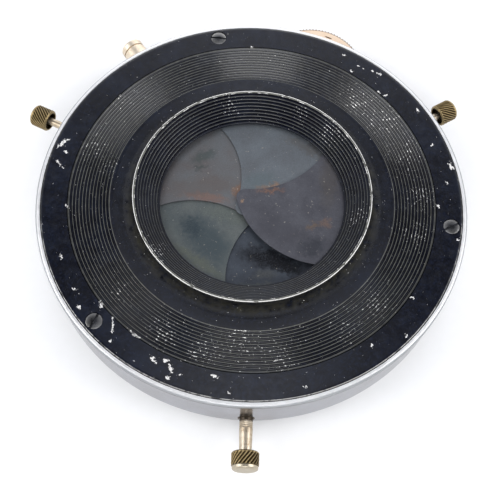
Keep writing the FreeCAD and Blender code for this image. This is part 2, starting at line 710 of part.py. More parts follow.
def mechanism_plate():
    """Base plate of the works, with the boss that both rings turn on."""
    step_height = iris_ring_top + S.end_gap * 2
    low = iris_ring_bottom - S.keeper_thickness - S.end_gap
    plate = turned("plate_turned", [
        (boss_inner, low),
        (iris_bearing, low),
        (iris_bearing, step_height),
        (boss_radius, step_height),
        (boss_radius, plate_bottom),
        (plate_radius, plate_bottom),
        (plate_radius, plate_top),
        (boss_inner, plate_top),
    ])
    cutters = []
    for index in range(BLADES):
        first = PIVOT_ANGLE - RING_TURN / 2 + STEP * index
        cutters.append(arc_slot("pin_path_%d" % index, drive_circle, first, first + RING_TURN,
                                S.drive_pin_radius + S.drive_slot_gap, plate_bottom, plate_top))
        cutters.append(cylinder("pivot_seat_%d" % index, S.pivot_pin_radius, plate_bottom - 1,
                                plate_top + 1, pivot_circle, PIVOT_ANGLE + STEP * index))
    for index, angle in enumerate(PLATE_SCREWS):
        cutters.append(cylinder("plate_hole_%d" % index, S.screw_shank_radius + S.running_gap,
                                plate_bottom - 1, plate_top + 1, pillar_circle, angle))
    for index, (circle, angle) in enumerate(stud_spots()):
        cutters.append(cylinder("stud_seat_%d" % index, S.stud_radius / 2, plate_bottom - 1,
                                plate_top + 1, circle, angle))
    for index, angle in enumerate(train_angles()):
        cutters.append(cylinder("arbor_hole_%d" % index, S.arbor_radius + S.running_gap,
                                plate_bottom - 1, plate_top + 1, train_circle, angle))
    for index, spot in enumerate(spring_post_spots()):
        cutters.append(plain("post_seat_%d" % index,
                             through_hole(S.spring_post_radius / 2, plate_bottom, plate_top, spot)))
    node(cut("mechanism_plate", plate, cutters), "mechanism_plate")


def arc_slot(name, circle, first, last, half_width, bottom, top):
    """A cutter for a curved slot on a circle of the case."""
    centre = FreeCAD.Vector(0, 0, 0)
    outer = float(circle) + float(half_width)
    inner = float(circle) - float(half_width)
    middle = (first + last) / 2
    edges = [
        Part.Arc(polar(outer, first), polar(outer, middle), polar(outer, last)).toShape(),
        end_round(circle, last, half_width, 1),
        Part.Arc(polar(inner, last), polar(inner, middle), polar(inner, first)).toShape(),
        end_round(circle, first, half_width, -1),
    ]
    height = float(top) - float(bottom) + 2
    return plain(name, plate_from(Part.Wire(edges), float(bottom) - 1, height))


def end_round(circle, angle, half_width, side):
    start = polar(float(circle) + side * float(half_width), angle)
    end = polar(float(circle) - side * float(half_width), angle)
    beyond = polar(float(half_width), angle + side * 90)
    return Part.Arc(start, polar(circle, angle) + beyond, end).toShape()


def stud_spots():
    """Where the lever studs and the wheel stud stand."""
    return ((cocking_circle, S.cocking_angle),
            (release_circle, S.release_angle),
            (wheel_circle, S.wheel_angle))


def meshing_step(first_circle, second_circle, distance):
    """Angle between two arbors on given circles that stand a given distance apart."""
    near = float(first_circle)
    far = float(second_circle)
    return math.degrees(math.acos((near ** 2 + far ** 2 - distance ** 2) / (2 * near * far)))


def gear_distance(first, second):
    return S.gear_module.number * (first.number + second.number) / 2


def train_angles():
    """Angles of the first, second and star arbors and of the pallet."""
    first = S.cocking_angle.number - meshing_step(
        cocking_circle, train_circle, gear_distance(S.sector_teeth, S.pinion_teeth))
    second = first - meshing_step(
        train_circle, train_circle, gear_distance(S.first_wheel_teeth, S.pinion_teeth))
    star = second - meshing_step(
        train_circle, train_circle, gear_distance(S.second_wheel_teeth, S.pinion_teeth))
    pallet = star - meshing_step(train_circle, train_circle, S.star_radius.number + 2.0)
    return first, second, star, pallet


def ring_keepers():
    low = blade_ring_bottom - S.end_gap - S.keeper_thickness
    node(turned("blade_ring_keeper", [
        (boss_radius, low), (boss_radius + S.keeper_width, low),
        (boss_radius + S.keeper_width, low + S.keeper_thickness),
        (boss_radius, low + S.keeper_thickness),
    ]), "blade_ring_keeper")
    low = iris_ring_bottom - S.end_gap - S.keeper_thickness
    node(turned("iris_ring_keeper", [
        (iris_bearing, low), (iris_bearing + S.keeper_width, low),
        (iris_bearing + S.keeper_width, low + S.keeper_thickness),
        (iris_bearing, low + S.keeper_thickness),
    ]), "iris_ring_keeper")


# Blades. Seen from the rear they overlap counter-clockwise, the first one on top.
def circles_meet(first, first_radius, second, second_radius, side):
    """Where two circles cross; side picks the left or right crossing."""
    gap = second - first
    along = (first_radius ** 2 - second_radius ** 2 + gap.Length ** 2) / (2 * gap.Length)
    aside = math.sqrt(first_radius ** 2 - along ** 2)
    way = FreeCAD.Vector(gap).normalize()
    return first + way * along + FreeCAD.Vector(-way.y, way.x, 0) * aside * side


def tangent_spot(point, centre, radius, side):
    """Where a line from a point touches a circle."""
    gap = centre - point
    bend = math.degrees(math.asin(radius / gap.Length))
    heading = math.degrees(math.atan2(gap.y, gap.x)) + side * bend
    return centre + polar(radius, heading + side * 90)


def blade_outline():
    """A blade as it lies closed: concave leading edge, tip, convex back and pivot lug."""
    axis = FreeCAD.Vector(0, 0, 0)
    hollow = polar(S.blade_arc_distance, S.blade_arc_angle)
    hollow_radius = (S.throat_radius - S.blade_arc_inset_width).number
    back = polar(S.blade_back_distance, S.blade_back_angle)
    back_radius = S.blade_back_radius.number
    corner = (S.throat_radius + S.blade_overlap_width).number
    pivot = polar(pivot_circle, PIVOT_ANGLE)
    tip = circles_meet(hollow, hollow_radius, back, back_radius, -1)
    back_corner = circles_meet(axis, corner, back, back_radius, -1)
    lead_corner = circles_meet(axis, corner, hollow, hollow_radius, -1)
    lug = S.blade_lug_radius.number
    lug_start = tangent_spot(back_corner, pivot, lug, -1)
    lug_end = tangent_spot(lead_corner, pivot, lug, 1)
    lug_far = pivot + (pivot * (1.0 / pivot.Length)) * lug
    back_way = (tip + back_corner) * 0.5 - back
    back_middle = back - back_way.normalize() * -back_radius
    lead_way = (tip + lead_corner) * 0.5 - hollow
    lead_middle = hollow + lead_way.normalize() * hollow_radius
    wire = Part.Wire([
        Part.Arc(tip, back_middle, back_corner).toShape(),
        Part.LineSegment(back_corner, lug_start).toShape(),
        Part.Arc(lug_start, lug_far, lug_end).toShape(),
        Part.LineSegment(lug_end, lead_corner).toShape(),
        Part.Arc(lead_corner, lead_middle, tip).toShape(),
    ])
    return wire, tip, pivot


def blade_solid(level_top):
    """One blade of the first kind, with pivot hole and drive slot, at its level."""
    wire, tip, pivot = blade_outline()
    bottom = float(level_top) - S.blade_thickness.number
    solid = plate_from(wire, bottom, S.blade_thickness)
    corner = [edge for edge in solid.Edges
              if edge.Length < 1 and (edge.CenterOfMass - tip).dot(FreeCAD.Vector(1, 0, 0)) < 0.1
              and math.hypot(edge.CenterOfMass.x - tip.x, edge.CenterOfMass.y - tip.y) < 0.05]
    solid = solid.makeFillet(S.blade_tip_radius.number, corner)
    beyond = S.cutter_length.number
    thick = S.blade_thickness.number + 2 * beyond
    hole = disc(S.pivot_pin_radius + S.running_gap, bottom - beyond, thick, pivot)
    near = pivot_circle.number - drive_circle.number
    far = (polar(drive_circle, RING_TURN / 2) - polar(pivot_circle, 0)).Length
    heading = PIVOT_ANGLE + 180 - BLADE_TURN / 2
    half = S.drive_pin_radius.number + S.drive_slot_gap.number
    slot = disc(half, bottom - beyond, thick, pivot + polar(near, heading))
    slot = slot.fuse(disc(half, bottom - beyond, thick, pivot + polar(far, heading)))
    link = Part.makeBox(far - near, 2 * half, thick)
    link.Placement = FreeCAD.Placement(
        pivot + polar(near, heading) + polar(half, heading - 90) + FreeCAD.Vector(0, 0, bottom - beyond),
        FreeCAD.Rotation(FreeCAD.Vector(0, 0, 1), heading))
    slot = slot.fuse(link)
    return solid.cut(hole).cut(slot)


def level_tops(highest):
    return [float(highest) - blade_pitch.number * index for index in range(BLADES)]


def shutter_blades():
    for index, top in enumerate(level_tops(top_blade)):
        blade = blade_solid(top)
        blade.rotate(FreeCAD.Vector(0, 0, 0), FreeCAD.Vector(0, 0, 1), STEP * index)
        name = "shutter_blade_%d" % (index + 1)
        node(plain(name, blade), name)


def iris_leaves():
    """The iris leaves have the blades' outline and are stored open."""
    for index, top in enumerate(level_tops(top_leaf)):
        leaf = blade_solid(top)
        pivot = polar(pivot_circle, PIVOT_ANGLE)
        leaf.rotate(pivot, FreeCAD.Vector(0, 0, 1), BLADE_TURN)
        leaf.rotate(FreeCAD.Vector(0, 0, 0), FreeCAD.Vector(0, 0, 1),
                    STEP * index + S.iris_leaf_offset_angle.number)
        name = "iris_leaf_%d" % (index + 1)
        node(plain(name, leaf), name)


def pivot_pin(name, base, level_bottom, top, foot, place):
    """A shouldered pin: foot in its plate, shoulder under the blade, pin through it."""
    return turned(name, [
        (0, foot), (S.pivot_pin_radius, foot), (S.pivot_pin_radius, base),
        (S.pivot_shoulder_radius, base), (S.pivot_shoulder_radius, level_bottom),
        (S.pivot_pin_radius, level_bottom), (S.pivot_pin_radius, top), (0, top),
    ], place)


def pivot_pins():
    pins = []
    for index in range(BLADES):
        level_bottom = top_blade - S.blade_thickness - blade_pitch * index - S.running_gap
        pins.append(pivot_pin("blade_pin_%d" % index, plate_top, level_bottom,
                              cover_seat - S.end_gap, plate_bottom,
                              standing_place(pivot_circle, PIVOT_ANGLE + STEP * index)))
    node(group("blade_pivot_pins", pins), "blade_pivot_pins")
    pins = []
    for index in range(BLADES):
        level_bottom = top_leaf - S.blade_thickness - blade_pitch * index - S.running_gap
        angle = PIVOT_ANGLE + STEP * index + S.iris_leaf_offset_angle.number
        pins.append(pivot_pin("iris_pin_%d" % index, front_plate_top, level_bottom,
                              top_leaf + S.end_gap, front_plate_bottom,
                              standing_place(pivot_circle, angle)))
    node(group("iris_pivot_pins", pins), "iris_pivot_pins")


def drive_ring(name, bore, bottom, thickness):
    outer = float(bore) + S.running_gap.number + S.ring_width.number
    return cut(name, cylinder(name + "_disc", outer, bottom, bottom + thickness),
               [cylinder(name + "_bore", bore + S.running_gap, bottom - 1, bottom + thickness + 1)])


def blade_ring():
    """The ring under the plate whose pins swing all shutter blades at once."""
    ring = drive_ring("blade_ring_blank", boss_radius, blade_ring_bottom, S.blade_ring_thickness)
    pieces = [ring]
    for index, top in enumerate(level_tops(top_blade)):
        angle = PIVOT_ANGLE + RING_TURN / 2 + STEP * index
        pieces.append(cylinder("blade_drive_pin_%d" % index, S.drive_pin_radius,
                               blade_ring_bottom + S.blade_ring_thickness / 2,
                               top + S.blade_gap.number / 2, drive_circle, angle))
    ear_circle = ring_radius + S.ring_ear_reach
    pieces.append(bar("ring_ear", polar(ring_radius - S.ring_width / 2, EAR_ANGLE),
                      polar(ear_circle, EAR_ANGLE), S.ring_ear_radius * 2,
                      blade_ring_bottom, S.blade_ring_thickness))
    pieces.append(cylinder("ring_ear_end", S.ring_ear_radius, blade_ring_bottom, blade_ring_top,
                           ear_circle, EAR_ANGLE))
    pieces.append(cylinder("ring_ear_post", S.ring_post_radius, blade_ring_bottom - S.ring_post_length,
                           blade_ring_bottom, ear_circle, EAR_ANGLE))
    node(fuse("blade_ring", pieces), "blade_ring")


def iris_ring():
    """The ring over the leaves, with their drive pins and a toothed arm for the iris knob."""
    ring = drive_ring("iris_ring_blank", iris_bearing, iris_ring_bottom, S.iris_ring_thickness)
    pieces = [ring]
    for index, top in enumerate(level_tops(top_leaf)):
        angle = PIVOT_ANGLE - RING_TURN / 2 + STEP * index + S.iris_leaf_offset_angle.number
        pieces.append(cylinder("iris_drive_pin_%d" % index, S.drive_pin_radius,
                               top - blade_pitch.number + S.blade_gap.number / 2,
                               iris_ring_bottom + S.iris_ring_thickness / 2,
                               drive_circle, angle))
    first, last = crown_span()
    outer = crown_circle.number + S.crown_width.number / 2
    inner = outer - S.crown_width.number - 1.0
    root = iris_bearing.number + S.ring_width.number - 1.0
    middle = (first + last) / 2
    spread = (last - first) / 2 + 1.0
    wire = Part.Wire([
        Part.Arc(polar(outer, middle - spread), polar(outer, middle), polar(outer, middle + spread)).toShape(),
        Part.LineSegment(polar(outer, middle + spread), polar(root, middle + spread * 0.8)).toShape(),
        Part.Arc(polar(root, middle + spread * 0.8), polar(root, middle),
                 polar(root, middle - spread * 0.8)).toShape(),
        Part.LineSegment(polar(root, middle - spread * 0.8), polar(outer, middle - spread)).toShape(),
    ])
    arm = plate_from(wire, iris_ring_bottom, S.iris_ring_thickness)
    window = disc(3.2, iris_ring_bottom.number - 1, S.iris_ring_thickness.number + 2,
                  polar((root + inner) / 2, middle))
    pieces.append(plain("iris_arm", arm.cut(window)))
    pieces.append(plain("iris_crown", crown_rack()))
    node(fuse("iris_ring", pieces), "iris_ring")


def crown_span():
    """First and last tooth angle of the crown sector, at rest."""
    travel = RING_TURN * S.iris_turn_share.number
    pitch = 360.0 / S.crown_teeth.number
    centre = S.iris_shaft_angle.number
    return centre - 3.5 * pitch, centre + travel + 3.5 * pitch


def crown_tooth_size():
    """Tooth pitch, tip height and root height of the crown teeth."""
    pitch = 2 * math.pi * crown_circle.number / S.crown_teeth.number
    pinion_root = S.crown_pinion_radius.number - S.crown_tooth_depth.number
    tip = iris_shaft_height.number + pinion_root + 0.15
    return pitch, tip, iris_ring_bottom.number


def crown_rack():
    """Radial teeth under the iris arm."""
    pitch, tip, root = crown_tooth_size()
    step = 360.0 / S.crown_teeth.number
    first, last = crown_span()
    count = int(round((last - first) / step))
    inner = crown_circle.number - S.crown_width.number / 2
    length = S.crown_width.number
    root_half = pitch * 0.24
    tip_half = pitch * 0.12
    teeth = []
    for index in range(count + 1):
        angle = S.iris_shaft_angle.number + step * (0.5 + math.floor((first - S.iris_shaft_angle.number)
                                                                    / step) + index)
        corners = [
            FreeCAD.Vector(inner, -root_half, root + 0.2), FreeCAD.Vector(inner, root_half, root + 0.2),
            FreeCAD.Vector(inner, tip_half, tip), FreeCAD.Vector(inner, -tip_half, tip),
        ]
        tooth = Part.Face(Part.makePolygon(corners + corners[:1])).extrude(FreeCAD.Vector(length, 0, 0))
        tooth.rotate(FreeCAD.Vector(0, 0, 0), FreeCAD.Vector(0, 0, 1), angle)
        teeth.append(tooth)
    return Part.makeCompound(teeth)


def iris_shaft():
    """Shaft through the wall with the pinion at its inner end, and the iris knob on it."""
    inner = crown_circle - S.crown_width / 2
    outer = crown_circle + S.crown_width / 2
    collar = outer + S.iris_collar_thickness
    root = S.crown_pinion_radius - S.crown_tooth_depth
    pinion = Part.Face(pinion_wire(S.crown_pinion_teeth.number, root.number,
                                   S.crown_pinion_radius.number, 0.40, 0.22, 0.0))
    pinion = pinion.extrude(FreeCAD.Vector(0, 0, S.crown_width.number))
    pinion.Placement = radial_place(S.iris_shaft_angle, iris_shaft_height).multiply(
        FreeCAD.Placement(FreeCAD.Vector(0, 0, inner.number), FreeCAD.Rotation()))
    core = S.crown_pinion_radius - S.crown_tooth_depth
    tenon = S.iris_shaft_radius - S.iris_tenon_step
    knob_foot = wall_radius + S.iris_knob_distance
    collar_radius = S.iris_shaft_radius + S.iris_collar_width
    profile = [
        (0, inner), (core, inner), (core, outer), (collar_radius, outer), (collar_radius, collar),
        (S.iris_shaft_radius, collar),
    ]
    ring = wall_radius + S.rim_flare_width
    for index in range(STEM_RINGS):
        profile.append((S.iris_shaft_radius, ring + S.iris_ring_pitch * index))
        profile.append((S.iris_shaft_radius - S.iris_groove_depth, ring + S.iris_ring_pitch * (index + 0.5)))
    profile += [
        (S.iris_shaft_radius, ring + S.iris_ring_pitch * STEM_RINGS),
        (S.iris_shaft_radius - S.iris_taper_width, knob_foot),
        (tenon, knob_foot), (tenon, knob_foot + S.iris_tenon_length), (0, knob_foot + S.iris_tenon_length),
    ]
    shaft = turned("iris_shaft_turned", profile, radial_place(S.iris_shaft_angle, iris_shaft_height))
    body = plain("iris_pinion", pinion)
    node(fuse("iris_shaft", [body, shaft]), "iris_shaft")
    bush_outer = S.iris_shaft_radius + S.running_gap + S.iris_bush_thickness
    node(turned("iris_shaft_bush", [
        (S.iris_shaft_radius + S.running_gap, collar + S.end_gap),
        (bush_outer, collar + S.end_gap), (bush_outer, wall_radius),
        (S.iris_shaft_radius + S.running_gap, wall_radius),
    ], radial_place(S.iris_shaft_angle, iris_shaft_height)), "iris_shaft_bush")
    node(knob("iris_knob", S.iris_knob_radius, knob_foot, S.iris_knob_length,
              tenon, S.iris_tenon_length, 0, S.iris_shaft_angle, iris_shaft_height), "iris_knob")


def knob(name, radius, inner, length, bore, bore_depth, recess, angle, height):
    """A finger knob with a plain end band, bored for its stem and cupped round it."""
    outer = inner + length
    band = inner + length * 0.78
    step = S.knob_step_width
    chamfer = S.knob_chamfer_width
    seat = inner + recess
    profile = [(bore, seat)]
    if float(recess):
        profile += [(radius - S.knob_recess_thickness, seat), (radius - S.knob_recess_thickness, inner)]
    profile += [
        (radius - chamfer, inner), (radius, inner + chamfer), (radius, band), (radius - step, band),
        (radius - step, outer - chamfer), (radius - step - chamfer, outer),
        (0, outer), (0, seat + bore_depth), (bore, seat + bore_depth),
    ]
    return turned(name, profile, radial_place(angle, height))


def pinion_wire(teeth, root, tip, root_share, tip_share, phase):
    """Outline of a small gear with straight flanks; the shares are of the tooth pitch."""
    points = []
    step = 360.0 / teeth
    for index in range(int(teeth)):
        centre = phase + step * index
        points.append(polar(root, centre - step * root_share / 2))
        points.append(polar(tip, centre - step * tip_share / 2))
        points.append(polar(tip, centre + step * tip_share / 2))
        points.append(polar(root, centre + step * root_share / 2))
    return Part.makePolygon(points + points[:1])


def gear_body(teeth, bottom, thickness, phase, centre):
    """A spur gear of the train, standing on its arbor."""
    pitch_radius = S.gear_module.number * teeth / 2
    root = pitch_radius - 1.15 * S.gear_module.number
    tip = pitch_radius + 0.8 * S.gear_module.number
    wire = pinion_wire(teeth, root, tip, 0.52, 0.20, phase)
    solid = plate_from(wire, bottom, thickness)
    solid.translate(FreeCAD.Vector(centre.x, centre.y, 0))
    return solid


def heading(start, end):
    return math.degrees(math.atan2(end.y - start.y, end.x - start.x))


def retard_train():
    """Two wheel-and-pinion arbors, a star wheel and its pallet under the plate."""
    angles = train_angles()
    spots = [polar(train_circle, angle) for angle in angles]
    stud = polar(cocking_circle, S.cocking_angle)
    pinion_step = 360.0 / S.pinion_teeth.number
    low = wheel_bottom.number
    pivot_low = low - 1.2
    lengths = plate_top.number - pivot_low
    upper = lever_bottom.number
    lower = low + 0.1
    thin = 0.6
    phases = []
    previous = stud
    for spot in spots[:3]:
        phases.append(heading(spot, previous) + pinion_step / 2)
        previous = spot
    names = ("retard_wheel_1", "retard_wheel_2", "star_wheel")
    for index, name in enumerate(names):
        spot = spots[index]
        arbor = disc(S.arbor_radius, pivot_low, lengths, spot)
        body = disc(0.9, low - 0.3, plate_bottom.number - S.end_gap.number - low + 0.3, spot)
        if index == 1:
            pinion_bottom, pinion_high, wheel_low = lower - 0.1, 0.9, upper + 0.2
        else:
            pinion_bottom, pinion_high, wheel_low = upper - 0.1, S.lever_thickness.number + 0.2, lower
        pinion = gear_body(S.pinion_teeth.number, pinion_bottom, pinion_high, phases[index], spot)
        if index < 2:
            teeth = (S.first_wheel_teeth, S.second_wheel_teeth)[index].number
            wheel = gear_body(teeth, wheel_low, thin, heading(spot, spots[index + 1]), spot)
        else:
            wheel = star_body(lower, thin, spot)
        solid = arbor.fuse([body, pinion, wheel]).removeSplitter()
        node(plain(name, solid), name)
    pallet_body(spots[2], spots[3], lower, thin, pivot_low, lengths)
    bridge_and_posts(angles)


def star_body(bottom, thickness, centre):
    points = []
    step = 360.0 / S.star_teeth.number
    for index in range(int(S.star_teeth.number)):
        points.append(polar(S.star_radius, step * index))
        points.append(polar(S.star_radius * 0.72, step * (index + 0.25)))
    solid = plate_from(Part.makePolygon(points + points[:1]), bottom, thickness)
    solid.translate(FreeCAD.Vector(centre.x, centre.y, 0))
    return solid


def pallet_body(star, spot, bottom, thickness, pivot_low, lengths):
    """A small rocking anchor beside the star wheel."""
    way = heading(spot, star)
    hub = disc(1.1, bottom, thickness, spot)
    arbor = disc(S.arbor_radius, pivot_low, lengths, spot)
    pieces = [arbor]
    for side in (-1, 1):
        elbow = spot + polar(2.6, way + side * 78)
        claw = star + polar(S.star_radius.number + 0.9, way + 180 - side * 62)
        for start, end in ((spot, elbow), (elbow, claw)):
            run = end - start
            beam = Part.makeBox(run.Length, 0.8, thickness)
            beam.Placement = FreeCAD.Placement(
                start + polar(0.4, heading(start, end) - 90) + FreeCAD.Vector(0, 0, bottom),
                FreeCAD.Rotation(FreeCAD.Vector(0, 0, 1), heading(start, end)))
            pieces.append(beam)
        pieces.append(disc(0.4, bottom, thickness, elbow))
    node(plain("pallet", hub.fuse(pieces).removeSplitter()), "pallet")


def bridge_and_posts(angles):
    """The bridge that carries the lower ends of the arbors, on three posts."""
    thick = 0.8
    top = wheel_bottom.number - 0.4
    bottom = top - thick
    circle = train_circle.number
    first = angles[0]
    last = angles[3] - 6.5
    middle = (first + last) / 2
    half = 2.4
    outer = circle + half
    inner = circle - half
    edges = [
        Part.Arc(polar(outer, last), polar(outer, middle), polar(outer, first)).toShape(),
        end_round(circle, first, half, 1),
        Part.Arc(polar(inner, first), polar(inner, middle), polar(inner, last)).toShape(),
        end_round(circle, last, half, -1),
    ]
    plate = plate_from(Part.Wire(edges), bottom, thick)
    for angle in angles:
        plate = plate.cut(through_hole(S.arbor_radius + S.running_gap, bottom, top, polar(circle, angle)))
    post_radius = 0.9
    between = (angles[0] + angles[1]) / 2
    beyond = (angles[1] + angles[2]) / 2
    posts = ((circle - 6.5, between), (circle + 6.8, beyond), (circle, last))
    for post_circle, angle in posts:
        foot = polar(post_circle, angle)
        post = disc(post_radius, bottom, plate_bottom.number - bottom, foot)
        ear = disc(post_radius + 0.6, bottom, thick, foot)
        root = polar(circle, angle)
        if post_circle != circle:
            run = foot - root
            beam = Part.makeBox(run.Length, S.bridge_arm_width.number, thick)
            beam.Placement = FreeCAD.Placement(
                root + polar(S.bridge_arm_width / 2, heading(root, foot) - 90) + FreeCAD.Vector(0, 0, bottom),
                FreeCAD.Rotation(FreeCAD.Vector(0, 0, 1), heading(root, foot)))
            plate = plate.fuse(beam)
        plate = plate.fuse([ear, post])
    node(plain("retard_bridge", plate.removeSplitter()), "retard_bridge")


def lever_stud(name, circle, angle, bottom, top):
    """A shouldered stud that hangs from the plate: tenon, spacer, journal and head."""
    head = S.stud_radius + S.stud_head_width
    return node(turned(name, [
        (0, bottom - 0.8 - S.end_gap), (head, bottom - 0.8 - S.end_gap),
        (head, bottom - S.end_gap), (S.stud_radius, bottom - S.end_gap),
        (S.stud_radius, top + S.end_gap), (head, top + S.end_gap), (head, plate_bottom),
        (S.stud_radius / 2, plate_bottom), (S.stud_radius / 2, plate_top), (0, plate_top),
    ], standing_place(circle, angle)), name)


def lever_arm(name, circle, angle):
    """The outward arm of a lever, ending in a round boss for the stem's tenon."""
    hub = cylinder(name + "_hub", S.stud_radius + S.lever_hub_width, lever_bottom, lever_top, circle, angle)
    boss_end = wall_inner - S.boss_gap
    arm = bar(name + "_arm", polar(circle, angle), polar(boss_end - S.boss_length / 2, angle),
              S.lever_arm_width, lever_bottom, S.lever_thickness)
    boss = radial_cylinder(name + "_boss", S.stem_radius, boss_end - S.boss_length, boss_end,
                           angle, lever_axis)
    return [hub, arm, boss], boss_end


def stem_and_knob(name, boss_end, inner, angle):
    """The slim stem of a side knob, with a tenon in the lever, and the knob on it."""
    tenon = S.tenon_radius
    seat = inner + S.knob_recess_depth
    node(turned(name + "_stem", [
        (0, boss_end - S.tenon_length), (tenon, boss_end - S.tenon_length), (tenon, boss_end),
        (S.stem_radius, boss_end), (S.stem_radius, seat), (tenon, seat),
        (tenon, seat + S.tenon_length), (0, seat + S.tenon_length),
    ], radial_place(angle, lever_axis)), name + "_stem")
    node(knob(name + "_knob", S.side_knob_radius, inner, S.side_knob_length, tenon, S.tenon_length,
              S.knob_recess_depth, angle, lever_axis), name + "_knob")


def lever_holes(name, circle, angle, boss_end):
    return [
        cylinder(name + "_eye", S.stud_radius + S.running_gap, lever_bottom - 2, lever_top + 2, circle, angle),
        radial_cylinder(name + "_tenon_hole", S.tenon_radius, boss_end - S.tenon_length,
                        boss_end + S.cutter_length, angle, lever_axis),
    ]


def cocking_lever():
    """The lever that winds the works: hub, arm to the knob and a gear sector."""
    circle = cocking_circle
    angle = S.cocking_angle
    pieces, boss_end = lever_arm("cocking", circle, angle)
    stud = polar(circle, angle)
    first = polar(train_circle, train_angles()[0])
    mesh = heading(stud, first)
    step = 360.0 / S.sector_teeth.number
    gear = gear_body(S.sector_teeth.number, lever_bottom, S.lever_thickness, mesh, stud)
    low = mesh - S.cocking_travel.number - 1.5 * step
    high = mesh + 1.5 * step
    reach = S.gear_module.number * S.sector_teeth.number
    slice_shape = Part.makeCylinder(reach, S.lever_thickness.number + 2,
                                    FreeCAD.Vector(stud.x, stud.y, lever_bottom.number - 1),
                                    FreeCAD.Vector(0, 0, 1), high - low)
    slice_shape.rotate(stud, FreeCAD.Vector(0, 0, 1), low)
    pieces.append(plain("cocking_sector", gear.common(slice_shape)))
    whole = fuse("cocking_whole", pieces)
    node(cut("cocking_lever", whole, lever_holes("cocking", circle, angle, boss_end)), "cocking_lever")
    stem_and_knob("cocking", boss_end, wall_radius + S.cocking_knob_distance, angle)
    lever_stud("cocking_stud", circle, angle, lever_bottom, lever_top)


def release_lever():
    """The lever that lets the shutter go, with a tail in front of the cable plunger."""
    circle = release_circle
    angle = S.release_angle
    pieces, boss_end = lever_arm("release", circle, angle)
    tail_round = S.tail_width * 0.64
    tail = polar(plunger_tip - tail_round - S.tail_gap, S.cable_angle)
    pieces.append(bar("release_tail", polar(circle, angle), tail, S.tail_width,
                      lever_bottom, S.lever_thickness))
    pieces.append(plain("release_tail_end", disc(tail_round, lever_bottom, S.lever_thickness, tail)))
    whole = fuse("release_whole", pieces)
    node(cut("release_lever", whole, lever_holes("release", circle, angle, boss_end)), "release_lever")
    stem_and_knob("release", boss_end, wall_radius + S.release_knob_distance, angle)
    lever_stud("release_stud", circle, angle, lever_bottom, lever_top)


def cable_release():
    """The threaded socket in the wall and the plunger inside it."""
    place = radial_place(S.cable_angle, lever_axis)
    bore = S.plunger_radius + S.running_gap
    room = S.plunger_radius + S.plunger_head_width + S.end_gap
    tip = wall_radius + S.cable_socket_length
    thread_foot = tip - S.cable_thread_length
    head = thread_foot - S.end_gap * 2
    head_foot = head - S.plunger_head_length
    chamber = head_foot - S.plunger_travel - S.end_gap
    foot = rim_radius + S.cable_foot_gap
    groove = tip - S.cable_cap_length
    body = S.cable_socket_radius
    node(turned("cable_socket", [
        (bore, wall_inner), (S.cable_nose_radius, wall_inner), (S.cable_nose_radius, foot),
        (body + S.cable_flare_width, foot), (body, groove),
        (body - S.cable_groove_width, groove), (body - S.cable_groove_width, groove + S.cable_groove_width),
        (body, groove + S.cable_groove_width), (body, tip - S.cable_round_radius),
        Arc(S.cable_round_radius, 1), (body - S.cable_round_radius, tip),
        (S.cable_thread_radius, tip), (S.cable_thread_radius, thread_foot),
        (room, thread_foot), (room, chamber), (bore, chamber),
    ], place), "cable_socket")
    chamfer = S.plunger_radius * 0.3
    node(turned("cable_plunger", [
        (0, plunger_tip), (S.plunger_radius - chamfer, plunger_tip),
        (S.plunger_radius, plunger_tip + chamfer), (S.plunger_radius, head_foot),
        (room - S.end_gap, head_foot), (room - S.end_gap, head), (0, head),
    ], place), "cable_plunger")


def spring_coil(name, circle, angle):
    """A coil spring round a stud head, under its lever, with a leg to its own post."""
    centre = polar(circle, angle)
    wire = S.spring_wire_radius.number
    post = S.spring_post_radius.number
    radius = (S.stud_radius + S.stud_head_width + S.spring_gap).number + wire
    height = S.spring_pitch_length.number * SPRING_TURNS
    coil = Part.makeHelix(S.spring_pitch_length.number, height, radius)
    start = FreeCAD.Vector(radius, 0, 0)
    round_wire = Part.Wire(Part.makeCircle(wire, start, FreeCAD.Vector(0, 1, 0)))
    solid = Part.Wire(coil.Edges).makePipeShell([round_wire], True, True)
    beside = radius - wire - post - S.running_gap.number
    reach = math.sqrt(S.spring_post_distance.number ** 2 - beside ** 2)
    leg = Part.makeCylinder(wire, reach + post, start, FreeCAD.Vector(0, -1, 0))
    solid = solid.fuse([leg, Part.makeSphere(wire, start)])
    way = math.degrees(math.atan2(reach, beside))
    solid.rotate(FreeCAD.Vector(0, 0, 0), FreeCAD.Vector(0, 0, 1), float(angle) + 180 + way)
    solid.translate(FreeCAD.Vector(centre.x, centre.y, spring_low.number))
    node(plain(name, solid), name)


def spring_post_spots():
    """Where the posts of the lever springs and of the wheel's click spring stand."""
    spots = [polar(circle - S.spring_post_distance, angle)
             for circle, angle in ((cocking_circle, S.cocking_angle), (release_circle, S.release_angle))]
    return spots + [click_spots()[1]]


def click_spots():
    """The point of the wheel's edge that its click spring bears on, and the foot of the spring."""
    centre = polar(wheel_circle, S.wheel_angle)
    way = S.wheel_angle.number + CLICK_TURN
    edge = centre + polar(S.wheel_radius + S.running_gap, way)
    aside = S.click_nose_radius.number * 2
    return edge, edge + polar(aside, way) + polar(S.click_spring_length, way + 90)


